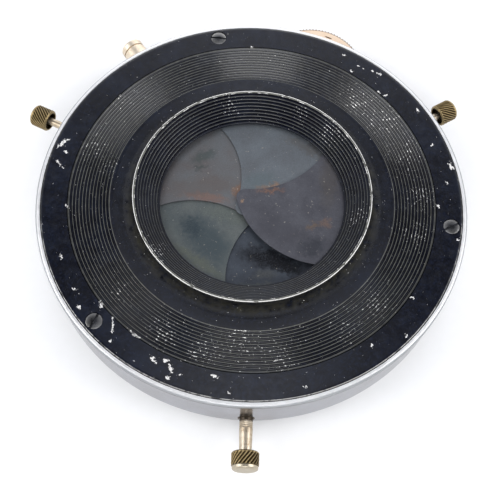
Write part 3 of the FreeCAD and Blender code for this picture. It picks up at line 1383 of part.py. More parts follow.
def springs():
    """Coil springs of both levers, the click spring of the wheel, and their posts."""
    spring_coil("mainspring", cocking_circle, S.cocking_angle)
    spring_coil("release_spring", release_circle, S.release_angle)
    edge, foot = click_spots()
    way = S.wheel_angle.number + CLICK_TURN
    nose = S.click_nose_radius.number
    thick = S.click_spring_thickness.number
    low = wheel_bottom.number
    high = wheel_top.number
    strip = Part.makeBox(S.click_spring_length.number + nose, thick, high - low)
    strip.Placement = FreeCAD.Placement(edge + polar(2 * nose, way) - polar(nose, way + 90)
                                        + FreeCAD.Vector(0, 0, low),
                                        FreeCAD.Rotation(FreeCAD.Vector(0, 0, 1), way + 90))
    roller = disc(nose, low, high - low, edge + polar(nose, way))
    collar = disc(S.spring_post_radius.number * 2, low, high - low, foot)
    click = strip.fuse([roller, collar])
    click = click.cut(through_hole(S.spring_post_radius, low, high, foot))
    node(plain("click_spring", click.removeSplitter()), "click_spring")
    post_end = spring_low - S.spring_pitch_length
    sample = turned("spring_post", [
        (0, post_end), (S.spring_post_radius, post_end), (S.spring_post_radius, plate_bottom),
        (S.spring_post_radius / 2, plate_bottom), (S.spring_post_radius / 2, plate_top), (0, plate_top),
    ])
    places = [FreeCAD.Placement(spot, FreeCAD.Rotation()) for spot in spring_post_spots()]
    node(copies("spring_posts", sample, places), "spring_posts")


def speed_wheel():
    """The notched wheel that stands out of the wall slot, and the cam on it."""
    centre = polar(wheel_circle, S.wheel_angle)
    teeth = int(S.wheel_teeth.number)
    points = []
    for index in range(teeth):
        points.append(polar(S.wheel_radius, 360.0 * index / teeth))
        points.append(polar(S.wheel_radius - S.wheel_notch_depth, 360.0 * (index + 0.5) / teeth))
    wheel = plate_from(Part.makePolygon(points + points[:1]), wheel_bottom, S.wheel_thickness)
    wheel.translate(FreeCAD.Vector(centre.x, centre.y, 0))
    eye = S.stud_radius + S.running_gap
    wheel = wheel.cut(through_hole(eye, wheel_bottom, wheel_top, centre))
    node(plain("speed_wheel", wheel), "speed_wheel")
    rise = S.cam_thickness.number
    cam = disc(S.cam_radius, wheel_top, rise, centre + polar(S.cam_offset_distance, S.wheel_angle + 180))
    cam = cam.cut(through_hole(eye, wheel_top, wheel_top + rise, centre))
    node(plain("speed_cam", cam), "speed_cam")
    lever_stud("wheel_stud", wheel_circle, S.wheel_angle, wheel_bottom, wheel_top + rise)


def front_plate():
    plate = turned("front_plate_turned", [
        (spigot_radius + S.running_gap, front_plate_bottom), (plate_radius - 0.4, front_plate_bottom),
        (plate_radius, front_plate_bottom + 0.4), (plate_radius, front_plate_top),
        (spigot_radius + S.running_gap, front_plate_top),
    ])
    cutters = []
    for index in range(BLADES):
        angle = PIVOT_ANGLE + STEP * index + S.iris_leaf_offset_angle.number
        cutters.append(cylinder("iris_seat_%d" % index, S.pivot_pin_radius, front_plate_bottom - 1,
                                front_plate_top + 1, pivot_circle, angle))
    for index, angle in enumerate(LEVER_PILLARS):
        cutters.append(cylinder("pillar_hole_%d" % index, S.screw_shank_radius + S.running_gap,
                                front_plate_bottom - 1, front_plate_top + 1, pillar_circle, angle))
    node(cut("front_plate", plate, cutters), "front_plate")


def front_barrel():
    """The front barrel, threaded inside for a lens cell; the part rests on its rim."""
    flange = front_plate_bottom
    flange_radius = barrel_radius + S.front_flange_width
    bore = S.front_thread_radius - S.front_seat_width
    node(turned("front_barrel", [
        (S.front_thread_radius, 0), (barrel_radius - 0.5, 0), (barrel_radius, 0.5),
        (barrel_radius, flange - S.front_flange_thickness), (flange_radius, flange - S.front_flange_thickness),
        (flange_radius, flange), (spigot_radius, flange),
        (spigot_radius, front_plate_top), (bore, front_plate_top),
        (bore, S.front_thread_length), (S.front_thread_radius, S.front_thread_length),
    ]), "front_barrel")


def pillars_and_screws():
    """Pillars between the two plates and the screws that hold plate and front."""
    thread_end = S.pillar_thread_depth + S.cutter_length
    pillar = turned("pillar_sample", [
        (S.screw_shank_radius, front_plate_top), (S.pillar_radius, front_plate_top),
        (S.pillar_radius, plate_bottom), (0, plate_bottom), (0, front_plate_top + thread_end),
        (S.screw_shank_radius, front_plate_top + thread_end),
    ])
    places = [standing_place(pillar_circle, angle) for angle in LEVER_PILLARS]
    node(copies("pillars", pillar, places), "pillars")
    sample = screw("front_screw", S.plain_head_radius, S.plain_head_height,
                   S.front_plate_thickness + S.pillar_thread_depth)
    places = [hanging(standing_place(pillar_circle, angle, SLOT_TURN * index), front_plate_bottom)
              for index, angle in enumerate(LEVER_PILLARS)]
    node(copies("front_screws", sample, places), "front_screws")
    sample = screw("plate_screw", S.plain_head_radius, S.plain_head_height,
                   S.plate_thickness + S.plate_thread_depth)
    places = [hanging(standing_place(pillar_circle, angle, SLOT_TURN * index), plate_bottom)
              for index, angle in enumerate(PLATE_SCREWS)]
    node(copies("plate_screws", sample, places), "plate_screws")


case_drum()
rear_cover()
cover_screws()
mechanism_plate()
ring_keepers()
shutter_blades()
iris_leaves()
pivot_pins()
blade_ring()
iris_ring()
iris_shaft()
cocking_lever()
release_lever()
cable_release()
speed_wheel()
springs()
retard_train()
front_plate()
front_barrel()
pillars_and_screws()

doc.recompute()
for item in doc.Objects:
    if "Invalid" in item.State or "Error" in item.State:
        raise RuntimeError("%s did not compute: %s" % (item.Label, item.State))
for label, item in nodes.items():
    if item.Shape.isNull() or not item.Shape.isValid():
        raise RuntimeError("%s has no valid shape" % label)
for label, item in sorted(nodes.items()):
    item.Shape.exportStep("parts/%s.step" % label)
    print("%-20s %d solids  %.1f mm3" % (label, len(item.Shape.Solids), item.Shape.Volume))
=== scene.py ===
# %% [markdown]
# # Dressing a leaf shutter
# The part is a large shutter for a plate camera lens, lying on its front barrel, so
# that the rear cover and the closed blades face up. The measured solids come in as a
# fixed frame. Everything below adds what the eye needs on top of them: finishes with
# wear, the knurl on the knobs, the light and the camera.

import math

import bmesh
import bpy
import numpy as np
from mathutils import Matrix, Vector


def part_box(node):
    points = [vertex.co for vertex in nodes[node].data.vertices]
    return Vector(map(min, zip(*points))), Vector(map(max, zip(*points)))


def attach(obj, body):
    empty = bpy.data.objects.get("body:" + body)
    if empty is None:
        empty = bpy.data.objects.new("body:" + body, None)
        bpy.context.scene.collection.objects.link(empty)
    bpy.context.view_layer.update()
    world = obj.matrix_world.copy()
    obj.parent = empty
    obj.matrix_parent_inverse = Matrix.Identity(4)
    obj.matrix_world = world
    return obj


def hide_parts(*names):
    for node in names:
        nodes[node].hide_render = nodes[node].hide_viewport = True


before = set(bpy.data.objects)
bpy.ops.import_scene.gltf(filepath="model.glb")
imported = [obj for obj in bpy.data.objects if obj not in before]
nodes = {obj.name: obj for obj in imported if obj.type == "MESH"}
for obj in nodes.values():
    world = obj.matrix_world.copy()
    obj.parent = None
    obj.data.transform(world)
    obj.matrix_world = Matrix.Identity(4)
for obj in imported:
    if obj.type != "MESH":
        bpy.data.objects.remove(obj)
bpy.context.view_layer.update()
MM = 0.001

# %% [markdown]
# ## Camera
# The picture was taken from above and in front, with a slight tilt of the camera. The
# place of the eye, the point that it looks at and the tilt were fitted to the rim, the
# collar and the three knobs. A rotation matrix is built from three directions, because
# that keeps the tilt exact, where a tracking constraint would level the camera.

# %% Camera
EYE = Vector((0.0, -0.12568, 0.25433))
AIM = Vector((0.00008, -0.01641, 0.024))
TILT = math.radians(2.826)
FOCAL_LENGTH, SENSOR_WIDTH = 67.8, 36.0
ahead = (AIM - EYE).normalized()
right = ahead.cross(Vector((0, 0, 1))).normalized()
up = right.cross(ahead)
across = right * math.cos(TILT) + up * math.sin(TILT)
upward = up * math.cos(TILT) - right * math.sin(TILT)
turn = Matrix((across, upward, -ahead)).transposed().to_4x4()
camera = bpy.data.objects.new("camera", bpy.data.cameras.new("camera"))
camera.data.lens = FOCAL_LENGTH
camera.data.sensor_width = SENSOR_WIDTH
camera.matrix_world = Matrix.Translation(EYE) @ turn
bpy.context.scene.collection.objects.link(camera)
bpy.context.scene.camera = camera
bpy.context.scene.view_settings.view_transform = "Standard"
print("camera at", [round(v / MM, 1) for v in EYE], "mm")

# %% [markdown]
# ## Colours and nodes
# Colours are written as the hex codes that a colour picker shows, and one function
# turns them into the linear light values that the renderer works with. A second
# function adds a node, sets its properties and fills its sockets with numbers or
# links. Patterns are sized in millimetres: a noise of scale 1 repeats about once a
# metre here, so a grain of so many millimetres needs a scale of 1000 over that size.

# %% Colour and node helpers
def linear(code):
    """An sRGB hex code as linear red, green, blue and full opacity."""
    parts = [int(code[i:i + 2], 16) / 255 for i in (1, 3, 5)]
    return tuple(c / 12.92 if c < 0.04045 else ((c + 0.055) / 1.055) ** 2.4 for c in parts) + (1.0,)


def grain(size_mm):
    """Texture scale for features of this size."""
    return 1.0 / (size_mm * MM)


def add(material, kind, inputs=None, **settings):
    """Add one node with its settings and links, and give back its outputs."""
    node = material.node_tree.nodes.new("ShaderNode" + kind)
    for name, value in settings.items():
        setattr(node, name, value)
    for socket, value in (inputs or {}).items():
        if isinstance(value, bpy.types.NodeSocket):
            material.node_tree.links.new(value, node.inputs[socket])
        else:
            node.inputs[socket].default_value = value
    return node.outputs


def start(name):
    """A new material with no nodes but one, which gives the place on the object."""
    material = bpy.data.materials.new(name)
    material.use_nodes = True
    material.node_tree.nodes.clear()
    return material, add(material, "TexCoord")["Object"]


def surface(material, **inputs):
    """Close a material with the standard surface shader."""
    named = {key.replace("_", " "): value for key, value in inputs.items()}
    shader = add(material, "BsdfPrincipled", named)
    add(material, "OutputMaterial", {"Surface": shader["BSDF"]})
    return material


print("white is", linear("#ffffff")[:3])

# %% [markdown]
# Most of a material is a handful of nodes used again and again, so each gets a short
# function. A ramp carries a value from one range to another and holds it at both ends.
# A Mix node has sockets for every kind of data, and those for colours have the numbers
# below.

# %% Short functions for the nodes that repeat
FAC, COLOR_A, COLOR_B, MIXED = 0, 6, 7, 2


def noise(material, place, size_mm, detail, roughness=0.5):
    """Noise with features of this size: its outputs, a grey value first and a colour."""
    return add(material, "TexNoise", {"Vector": place, "Scale": grain(size_mm), "Detail": detail,
                                      "Roughness": roughness})


def ramp(material, value, start_at, end_at, low=0.0, high=1.0, smooth=False):
    """The value carried from start_at..end_at to low..high."""
    curve = "SMOOTHSTEP" if smooth else "LINEAR"
    return add(material, "MapRange", {"Value": value, "From Min": start_at, "From Max": end_at,
                                      "To Min": low, "To Max": high}, interpolation_type=curve)[0]


def zone(material, distance, start_mm, end_mm, low=0.0, high=1.0, smooth=False):
    """A ramp over a distance in metres, between two places given in mm."""
    return ramp(material, distance, start_mm * MM, end_mm * MM, low, high, smooth)


def calc(material, operation, *values):
    """One step of arithmetic on numbers or outputs."""
    return add(material, "Math", dict(enumerate(values)), operation=operation)[0]


def blend(material, share, first, second):
    """Two colours mixed. Each is a hex code or an output."""
    first, second = (linear(tint) if isinstance(tint, str) else tint for tint in (first, second))
    return add(material, "Mix", {FAC: share, COLOR_A: first, COLOR_B: second}, data_type="RGBA")[MIXED]


def length(material, vector):
    """How long a vector is."""
    return add(material, "VectorMath", {0: vector}, operation="LENGTH")["Value"]


def off_axis(material, vector):
    """How far a place lies from the Z axis."""
    level = add(material, "VectorMath", {0: vector, 1: (1, 1, 0)}, operation="MULTIPLY")[0]
    return length(material, level)


print("colour sockets:", COLOR_A, COLOR_B)

# %% [markdown]
# ## Floor and light
# The object lies on plain white, lit so softly that it throws almost no shadow. A pale
# floor under a wide sky dome gives that, with weak soft boxes on four sides.

# %% Floor
FLOOR_HALF = 3.0
floor_mesh = bpy.data.meshes.new("floor")
floor_mesh.from_pydata([(-FLOOR_HALF, -FLOOR_HALF, 0), (FLOOR_HALF, -FLOOR_HALF, 0),
                        (FLOOR_HALF, FLOOR_HALF, 0), (-FLOOR_HALF, FLOOR_HALF, 0)],
                       [], [(0, 1, 2, 3)])
floor = bpy.data.objects.new("floor", floor_mesh)
bpy.context.scene.collection.objects.link(floor)
paper, place = start("white_paper")
fibre = noise(paper, place, 3, 4)[0]
paper_colour = blend(paper, fibre, "#f4f4f3", "#f8f8f8")
surface(paper, Base_Color=paper_colour, Roughness=0.9)
floor_mesh.materials.append(paper)
print("floor is", 2 * FLOOR_HALF, "m wide")

# %% [markdown]
# The glossy cover mirrors the upper part of the sky towards the camera. In the photograph
# it is dark at both sides, and lighter at the far and the near edge, so the sky has two
# dark fields left and right of a pale band overhead, and the band is brightest straight
# above. The height and the sideways part of a direction are enough to say where they are.

# %% Sky
SKY_COLOUR, SKY_DIM, SKY_BRIGHT = "#f3f6ff", 0.012, 0.80
DARK_FROM, DARK_TO = 0.77, 0.86
BAND_EDGE, BAND_CORE = 0.16, 0.03
ZENITH_EDGE, ZENITH_CORE, ZENITH_GAIN = 0.88, 0.96, 2.0
world = bpy.data.worlds.new("sky")
bpy.context.scene.world = world
world.use_nodes = True
world.node_tree.nodes.clear()
direction = add(world, "TexCoord")["Generated"]
aim = add(world, "SeparateXYZ", {0: direction})
low = ramp(world, aim["Z"], DARK_TO, DARK_FROM, smooth=True)
sideways = calc(world, "ABSOLUTE", aim["X"])
band = ramp(world, sideways, BAND_EDGE, BAND_CORE, smooth=True)
zenith = ramp(world, aim["Z"], ZENITH_EDGE, ZENITH_CORE, 1.0, ZENITH_GAIN)
band = calc(world, "MULTIPLY", band, zenith)
open_sky = calc(world, "MAXIMUM", low, band)
strength = add(world, "MapRange", {"Value": open_sky, "To Min": SKY_DIM, "To Max": SKY_BRIGHT},
               clamp=False)[0]
sky = add(world, "Background", {"Color": linear(SKY_COLOUR), "Strength": strength})
add(world, "OutputWorld", {"Surface": sky[0]})
print("sky nodes:", len(world.node_tree.nodes))

# %% [markdown]
# Four square soft boxes stand round the object, wide enough to leave no hard shadow. All
# of them face a point a little above the floor.

# %% Soft boxes
LAMP_TARGET = Vector((0, 0, 0.02))
LIGHTS = (
    # name, place and size in metres, and strength in watts of each soft box
    ("box_left", (-0.55, -0.10, 0.45), 0.5, 2.6),
    ("box_right", (0.55, -0.05, 0.45), 0.5, 2.6),
    ("box_behind", (0.0, 0.70, 0.30), 0.6, 1.6),
    ("box_front", (0.0, -0.60, 0.50), 0.5, 2.4),
)
for name, spot, size, watts in LIGHTS:
    lamp = bpy.data.lights.new(name, "AREA")
    lamp.shape = "SQUARE"
    lamp.size = size
    lamp.energy = watts
    holder = bpy.data.objects.new(name, lamp)
    holder.location = spot
    holder.rotation_euler = (LAMP_TARGET - Vector(spot)).to_track_quat("-Z", "Y").to_euler()
    bpy.context.scene.collection.objects.link(holder)
print("lights:", [name for name, *rest in LIGHTS])

# %% [markdown]
# ## Turned shapes
# Nearly every piece of a shutter comes off a lathe, so one function turns a profile of
# rings about an axis. Each ring has a radius, a height and a crest value from 0 to 1,
# which is stored on the mesh: the finishes use it to pale the crests, partly as wear and
# partly as a painted highlight, and to darken the hollows.

# %% Lathe
SHARP_FROM = math.radians(32)


def lathe(name, rings, segments=256, closed=True, relief=None):
    """Turn rings of (radius, height, crest) in mm about Z. For a surface that isn't round,
    relief(angles, index of the ring) gives the change of radius and the crest."""
    steps = np.linspace(0, 2 * math.pi, segments, endpoint=False)
    points, crests = [], []
    for index, (radius, height, crest) in enumerate(rings):
        change, tops = relief(steps, index) if relief else (0 * steps, 0 * steps + crest)
        reach = (radius + change) * MM
        points.append(np.stack([reach * np.cos(steps), reach * np.sin(steps), 0 * steps + height * MM], 1))
        crests.append(tops)
    count = len(rings)
    faces = []
    for index in range(count if closed else count - 1):
        low, high = index * segments, (index + 1) % count * segments
        for step in range(segments):
            after = (step + 1) % segments
            faces.append((low + step, low + after, high + after, high + step))
    mesh = bpy.data.meshes.new(name)
    mesh.from_pydata(np.concatenate(points).tolist(), [], faces)
    mesh.attributes.new("crest", "FLOAT", "POINT").data.foreach_set("value", np.concatenate(crests))
    work = bmesh.new()
    work.from_mesh(mesh)
    bmesh.ops.remove_doubles(work, verts=work.verts, dist=1e-7)
    bmesh.ops.recalc_face_normals(work, faces=work.faces)
    work.to_mesh(mesh)
    work.free()
    mesh.shade_smooth()
    mesh.set_sharp_from_angle(angle=SHARP_FROM)
    piece = bpy.data.objects.new(name, mesh)
    bpy.context.scene.collection.objects.link(piece)
    return piece


def along_radius(piece, angle, height):
    """Lay a turned piece along a radius of the case."""
    spin = Matrix.Rotation(math.radians(angle), 4, "Z") @ Matrix.Rotation(math.radians(90), 4, "Y")
    piece.data.transform(Matrix.Translation((0, 0, height * MM)) @ spin)


def carved(piece, cutter_mesh):
    """The piece's mesh with the cutter taken out of it by the exact Boolean."""
    cutter = bpy.data.objects.new("cutter", cutter_mesh)
    bpy.context.scene.collection.objects.link(cutter)
    cutting = piece.modifiers.new("cut", "BOOLEAN")
    cutting.object = cutter
    cutting.operation = "DIFFERENCE"
    cutting.solver = "EXACT"
    bpy.context.view_layer.update()
    mesh = bpy.data.meshes.new_from_object(piece.evaluated_get(bpy.context.evaluated_depsgraph_get()))
    piece.modifiers.clear()
    bpy.data.objects.remove(cutter)
    return mesh


def belongs(piece, body, node, material):
    """The piece rides on a body, stands for a node and takes that node's finish."""
    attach(piece, body)
    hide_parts(node)
    piece.data.materials.append(material)


print("edges stay sharp from", round(math.degrees(SHARP_FROM)), "degrees")

# %% [markdown]
# ## Rear cover
# The cover is one turning: a grooved band, a coved zone, the collar with its bright lip
# and the ridged funnel down to the blades. It is turned again here, far finer than the
# measured solid, because part of its wear is painted from values stored on its points:
# how near a point is to a crest and to a rubbed patch.

# %% Profile of the rear cover
FLAT, SEAT = 24.0, 22.0
COVER_RADIUS = 58.5
GROOVE_OUTER, GROOVE_INNER, GROOVES, GROOVE_DEPTH = 50.7, 39.7, 12, 0.45
COVE_DEPTH, COVE_FOOT = 0.6, 35.64
DISH = FLAT - COVE_DEPTH
COLLAR_RADIUS, COLLAR_TOP, LIP_RADIUS = 33.0, 27.5, 32.35
THROAT_RADIUS, THROAT_FOOT, RIDGES, FUNNEL_FOOT = 25.85, 21.1, 9, 21.7
GROOVE_SHARES = (0.0, 0.14, 0.27, 0.38, 0.5, 0.62, 0.73, 0.86)
FIRST_CREST, OTHER_CRESTS = 0.85, 0.95
rings = [(COVER_RADIUS, SEAT, 0), (COVER_RADIUS, FLAT - 0.25, 0.4), (COVER_RADIUS - 0.07, FLAT - 0.07, 0.9),
         (COVER_RADIUS - 0.25, FLAT, 0.5)]
rings += [(radius, FLAT, 0) for radius in np.arange(COVER_RADIUS - 0.7, GROOVE_OUTER + 0.3, -0.42)]
pitch = (GROOVE_OUTER - GROOVE_INNER) / GROOVES
rings += [(GROOVE_OUTER + 0.62, FLAT, 0.1), (GROOVE_OUTER + 0.5, FLAT, 0.74),
          (GROOVE_OUTER + 0.12, FLAT, 0.74)]
for index in range(GROOVES):
    # Each groove is a sunk half wave, so that the crests between them stay rounded.
    for share in GROOVE_SHARES:
        sunk = math.sin(math.pi * share) ** 1.6
        rings.append((GROOVE_OUTER - pitch * (index + share), FLAT - GROOVE_DEPTH * sunk,
                      (1 - sunk) * (OTHER_CRESTS if index else FIRST_CREST)))
rings += [(GROOVE_INNER, FLAT, 1), (GROOVE_INNER - 0.5, FLAT - 0.06, 0.1)]
rings += [(radius, FLAT - COVE_DEPTH * (GROOVE_INNER - radius) / (GROOVE_INNER - COVE_FOOT), 0)
          for radius in np.arange(39.0, 35.9, -0.5)]
rings += [(COVE_FOOT, DISH, 0), (COLLAR_RADIUS + 1.44, DISH, 0), (COLLAR_RADIUS + 0.9, DISH + 0.12, 0),
          (COLLAR_RADIUS + 0.4, DISH + 0.5, 0), (COLLAR_RADIUS + 0.1, DISH + 0.95, 0),
          (COLLAR_RADIUS, DISH + 1.32, 0), (COLLAR_RADIUS, COLLAR_TOP - 0.5, 0.2),
          (COLLAR_RADIUS, COLLAR_TOP - 0.15, 0.9), (COLLAR_RADIUS - 0.05, COLLAR_TOP - 0.04, 1),
          (COLLAR_RADIUS - 0.15, COLLAR_TOP, 1), (LIP_RADIUS + 0.08, COLLAR_TOP, 1),
          (LIP_RADIUS, COLLAR_TOP - 0.06, 1)]
inward = (LIP_RADIUS - THROAT_RADIUS) / RIDGES
down = (COLLAR_TOP - FUNNEL_FOOT) / RIDGES
for index in range(RIDGES):
    outer, tread = LIP_RADIUS - inward * index, COLLAR_TOP - down * (index + 1)
    rings += [(outer, tread + 0.1, 0.1), (outer, tread, 0), (outer - 0.5 * inward, tread, 0.2),
              (outer - inward + 0.05, tread, 1), (outer - inward, tread - 0.05, 1)]
# The last crest stands in the dark above the blades, where nothing rubs it.
rings[-2:] = [ring[:2] + (0,) for ring in rings[-2:]]
rings += [(THROAT_RADIUS, THROAT_FOOT, 0), (COLLAR_RADIUS, THROAT_FOOT, 0), (COLLAR_RADIUS + 1.5, SEAT, 0)]
cover = lathe("rear_cover_turned", rings, segments=600)
print("rear cover:", len(rings), "rings,", len(cover.data.polygons), "faces")

# %% [markdown]
# The three screw heads sit in round seats. They are cut with the exact Boolean, once,
# from the finished turning. The rub values are worked out afterwards, since the cut
# makes new points.

# %% Screw seats in the cover
SCREW_CIRCLE, HEAD_RADIUS, HEAD_SEAT = 55.6, 2.35, 23.2
COVER_SCREWS = {103.0: -3.0, 224.5: 68.0, 353.6: 28.0}  # place: turn of the slot, in degrees
drills = bpy.data.meshes.new("drills")
work = bmesh.new()
for angle in COVER_SCREWS:
    spot = Vector((math.cos(math.radians(angle)), math.sin(math.radians(angle)), 0)) * SCREW_CIRCLE
    bmesh.ops.create_cone(work, cap_ends=True, segments=64, radius1=HEAD_RADIUS * MM,
                          radius2=HEAD_RADIUS * MM, depth=2 * MM,
                          matrix=Matrix.Translation((spot + Vector((0, 0, HEAD_SEAT + 1))) * MM))
work.to_mesh(drills)
work.free()
cover.data = carved(cover, drills)
print("cover after the screw seats:", len(cover.data.polygons), "faces")

# %% [markdown]
# ## Wear on the cover
# Years of sliding in and out of a camera have knocked chips out of the enamel. Each chip
# is a short stroke with two ends and a width. The finish turns each one into a small
# ellipse and frays its outline with a noise, so that the marks stay crisp however coarse
# the mesh is. The rubbed patches on the grooved band are wide and soft, so they can be
# kept as values on the points of the mesh.

# %% Chips and rubbed patches
CHIPS = (
    # start and end in mm, width in mm
    (-54.9, 14.4, -53.6, 15.6, 0.9), (-55.6, 13.2, -54.6, 13.8, 0.6), (-53.4, 11.6, -53.1, 11.2, 0.6),
    (-55.6, 8.6, -53.9, 6.6, 0.45), (-51.2, -5.4, -50.6, -6.1, 0.6), (-50.7, -20.5, -50.3, -21.4, 0.55),
    (-46.3, -30.3, -45.5, -30.4, 0.45), (-44.2, -35.0, -43.8, -35.3, 0.6), (-38.4, -34.0, -38.2, -35.0, 0.75),
    (-35.0, -37.4, -34.5, -41.4, 0.4), (-34.9, -44.4, -34.7, -44.3, 0.75), (-29.7, -41.6, -27.6, -43.0, 0.55),
    (-23.9, -48.2, -22.7, -49.4, 0.95), (-18.9, -50.2, -18.3, -51.8, 0.8), (-19.4, -53.0, -19.0, -53.6, 0.7),
    (-16.4, -52.6, -16.1, -52.5, 0.55), (-20.5, -48.9, -19.6, -48.7, 0.5), (-7.8, -52.2, -6.9, -52.5, 0.65),
    (-3.6, -56.5, -3.3, -56.8, 0.5), (15.6, -54.1, 15.9, -54.1, 0.55), (32.7, -41.6, 32.9, -42.2, 0.6),
    (42.0, -38.6, 42.1, -38.8, 0.7), (43.4, -27.7, 43.8, -28.2, 0.5), (25.3, 50.1, 25.7, 49.9, 0.6),
    (27.5, 44.3, 27.7, 44.1, 0.6), (29.8, 46.1, 30.0, 46.1, 0.4), (31.3, 45.2, 31.5, 45.1, 0.45),
    (33.9, 44.7, 34.0, 44.6, 0.4), (35.1, 44.1, 35.3, 44.0, 0.45), (36.1, 43.9, 36.5, 43.8, 0.5),
    (35.6, 37.4, 35.9, 37.0, 0.65), (37.4, 36.3, 37.9, 36.1, 0.6), (47.0, 31.8, 47.4, 31.2, 0.65),
    (50.8, 19.8, 50.9, 19.6, 0.6), (55.5, 13.9, 56.2, 12.5, 0.75), (54.5, 7.6, 54.8, 7.2, 0.45),
    (51.6, 0.1, 51.8, -0.4, 0.55), (56.8, -9.8, 56.8, -10.3, 0.55), (-2.4, 51.3, -2.1, 51.3, 0.6),
)
RUBBED = (
    # middle in mm, reach in mm
    (29.0, 33.5, 9.0), (38.0, 28.5, 9.0), (44.5, 17.0, 9.0), (47.5, 3.0, 8.0), (45.5, -9.0, 7.0),
    (-1.0, -43.5, 9.0), (9.0, -46.5, 9.0), (-11.0, -46.5, 9.0), (-21.0, -41.5, 9.0), (26.0, -38.0, 8.0),
    (-34.0, -30.5, 5.0), (-45.5, 14.0, 6.0), (-40.0, 8.0, 5.0), (34.0, -31.0, 8.0), (21.5, 21.5, 7.0),
    (13.0, 28.0, 5.0), (29.5, -5.0, 5.0), (-25.0, -19.0, 6.0), (-8.0, 29.0, 5.0), (-40.0, 31.0, 5.0),
)
seen = np.array([v.co for v in cover.data.vertices]) / MM
rub = np.zeros(len(seen))
for x, y, reach in RUBBED:
    rub = np.maximum(rub, 1 - np.hypot(seen[:, 0] - x, seen[:, 1] - y) / reach)
rub = np.clip(rub * (seen[:, 2] > SEAT + 1), 0, 1).astype(np.float32)
cover.data.attributes.new("rub", "FLOAT", "POINT").data.foreach_set("value", rub)
print("chips:", len(CHIPS), "rubbed points:", int((rub > 0).sum()))

# %% [markdown]
# ## Stoved black enamel
# The cover is brass with a thin blue-black enamel baked on. It is smooth and half
# glossy, goes grey on the crests, partly from handling and partly as a painted highlight,
# olive where dust has settled at the foot of the collar, and shows bare pale metal in the
# chips and on the collar lip.

# %% Enamel base coat
CREST_WEAR_AND_HIGHLIGHT, DUST_OLIVE, BARE_METAL = "#6c6c64", "#3d3b30", "#f2f0ec"
UNROLL_RADIUS = 45.0
enamel, place = start("stoved_black_enamel_on_brass")
spot = add(enamel, "SeparateXYZ", {0: place})
radius = length(enamel, add(enamel, "CombineXYZ", {0: spot["X"], 1: spot["Y"]})[0])
angle = calc(enamel, "ARCTAN2", spot["Y"], spot["X"])
around = calc(enamel, "MULTIPLY", angle, UNROLL_RADIUS * MM)
unrolled = add(enamel, "CombineXYZ", {0: radius, 1: around, 2: spot["Z"]})[0]
crest = add(enamel, "Attribute", attribute_name="crest")["Fac"]
rub = add(enamel, "Attribute", attribute_name="rub")["Fac"]
cloud = noise(enamel, place, 22, 3)[0]
mottle = noise(enamel, place, 2.2, 5, 0.62)[0]
fray = noise(enamel, place, 0.7, 3, 0.6)
base = blend(enamel, cloud, "#02040b", "#070812")
pepper = ramp(enamel, fray[0], 0.5, 0.66, 0, 0.35)
base = blend(enamel, pepper, base, "#1b2236")
haze = noise(enamel, place, 9, 5, 0.65)[0]
haze = ramp(enamel, haze, 0.46, 0.68, 0, 0.3)
base = blend(enamel, haze, base, "#1a2233")
print("enamel nodes so far:", len(enamel.node_tree.nodes))

# %% [markdown]
# The crests of the grooves and of the funnel's steps are paled to a soft grey, partly
# as rubbed wear and partly as a painted highlight, less so in the funnel. Dust lies in the
# cove at the foot of the collar, and the hollow under the lip is matt, so it stays dark
# under every light.

# %% Crests paled by wear and painted highlight, dust and the dark hollow
# Crest grey: rubbed wear and a painted highlight on the rounded crests.
worn = ramp(enamel, crest, 0.55, 1.0, smooth=True)
patchy = ramp(enamel, mottle, 0.3, 0.7, 0.35, 0.85)
worn = calc(enamel, "MULTIPLY", worn, patchy)
in_funnel = zone(enamel, radius, LIP_RADIUS - 0.15, LIP_RADIUS - 0.35, 1.0, 0.6)
worn = calc(enamel, "MULTIPLY", worn, in_funnel)
base = blend(enamel, worn, base, CREST_WEAR_AND_HIGHLIGHT)
foot = zone(enamel, radius, COLLAR_RADIUS + 3.8, COLLAR_RADIUS + 0.4, smooth=True)
outside = zone(enamel, radius, COLLAR_RADIUS - 0.15, COLLAR_RADIUS - 0.05)
dusty = ramp(enamel, mottle, 0.3, 0.7, 0, 0.6)
foot = calc(enamel, "MULTIPLY", foot, outside)
foot = calc(enamel, "MULTIPLY", foot, dusty)
base = blend(enamel, foot, base, DUST_OLIVE)
hollow = zone(enamel, radius, COLLAR_RADIUS + 2.0, COLLAR_RADIUS + 0.8, smooth=True)
hollow = calc(enamel, "MULTIPLY", hollow, outside)
low_down = zone(enamel, spot["Z"], COLLAR_TOP - 0.2, COLLAR_TOP - 0.6)
hollow = calc(enamel, "MULTIPLY", hollow, low_down)
mirror = ramp(enamel, hollow, 0, 1, 0.5, 0.03)
print("enamel nodes with the rubbed crests:", len(enamel.node_tree.nodes))

# %% [markdown]
# Where the enamel is gone the brass shows pale. The chips come first. Each is an ellipse
# that a mapping node squeezes to a unit circle, so the length of its coordinate is 1 at
# the edge. A noise moves the place before that, which frays the outline.

# %% Chips through the enamel
SHIFT = 2.2
jagged = add(enamel, "VectorMath", {0: fray["Color"], 1: (SHIFT * MM, SHIFT * MM, 0), 2: place},
             operation="MULTIPLY_ADD")[0]
nearest = None
for x0, y0, x1, y1, width in CHIPS:
    long_way = math.hypot(x1 - x0, y1 - y0)
    local = add(enamel, "Mapping", {
        "Vector": jagged,
        "Location": ((x0 + x1 + SHIFT) / 2 * MM, (y0 + y1 + SHIFT) / 2 * MM, 0),
        "Rotation": (0, 0, math.atan2(y1 - y0, x1 - x0)),
        "Scale": ((long_way + width) / 2 * MM, width / 2 * MM, 1)}, vector_type="TEXTURE")[0]
    gap = length(enamel, local)
    nearest = calc(enamel, "MINIMUM", gap, nearest) if nearest else gap
crumb = noise(enamel, place, 0.55, 1)[0]
nearest = calc(enamel, "MULTIPLY_ADD", crumb, 2.4, nearest)
chips = ramp(enamel, nearest, 2.22, 2.08)
on_top = zone(enamel, spot["Z"], FLAT - 0.7, FLAT - 0.6)
bare = calc(enamel, "MULTIPLY", chips, on_top)
print("chips painted:", len(CHIPS))

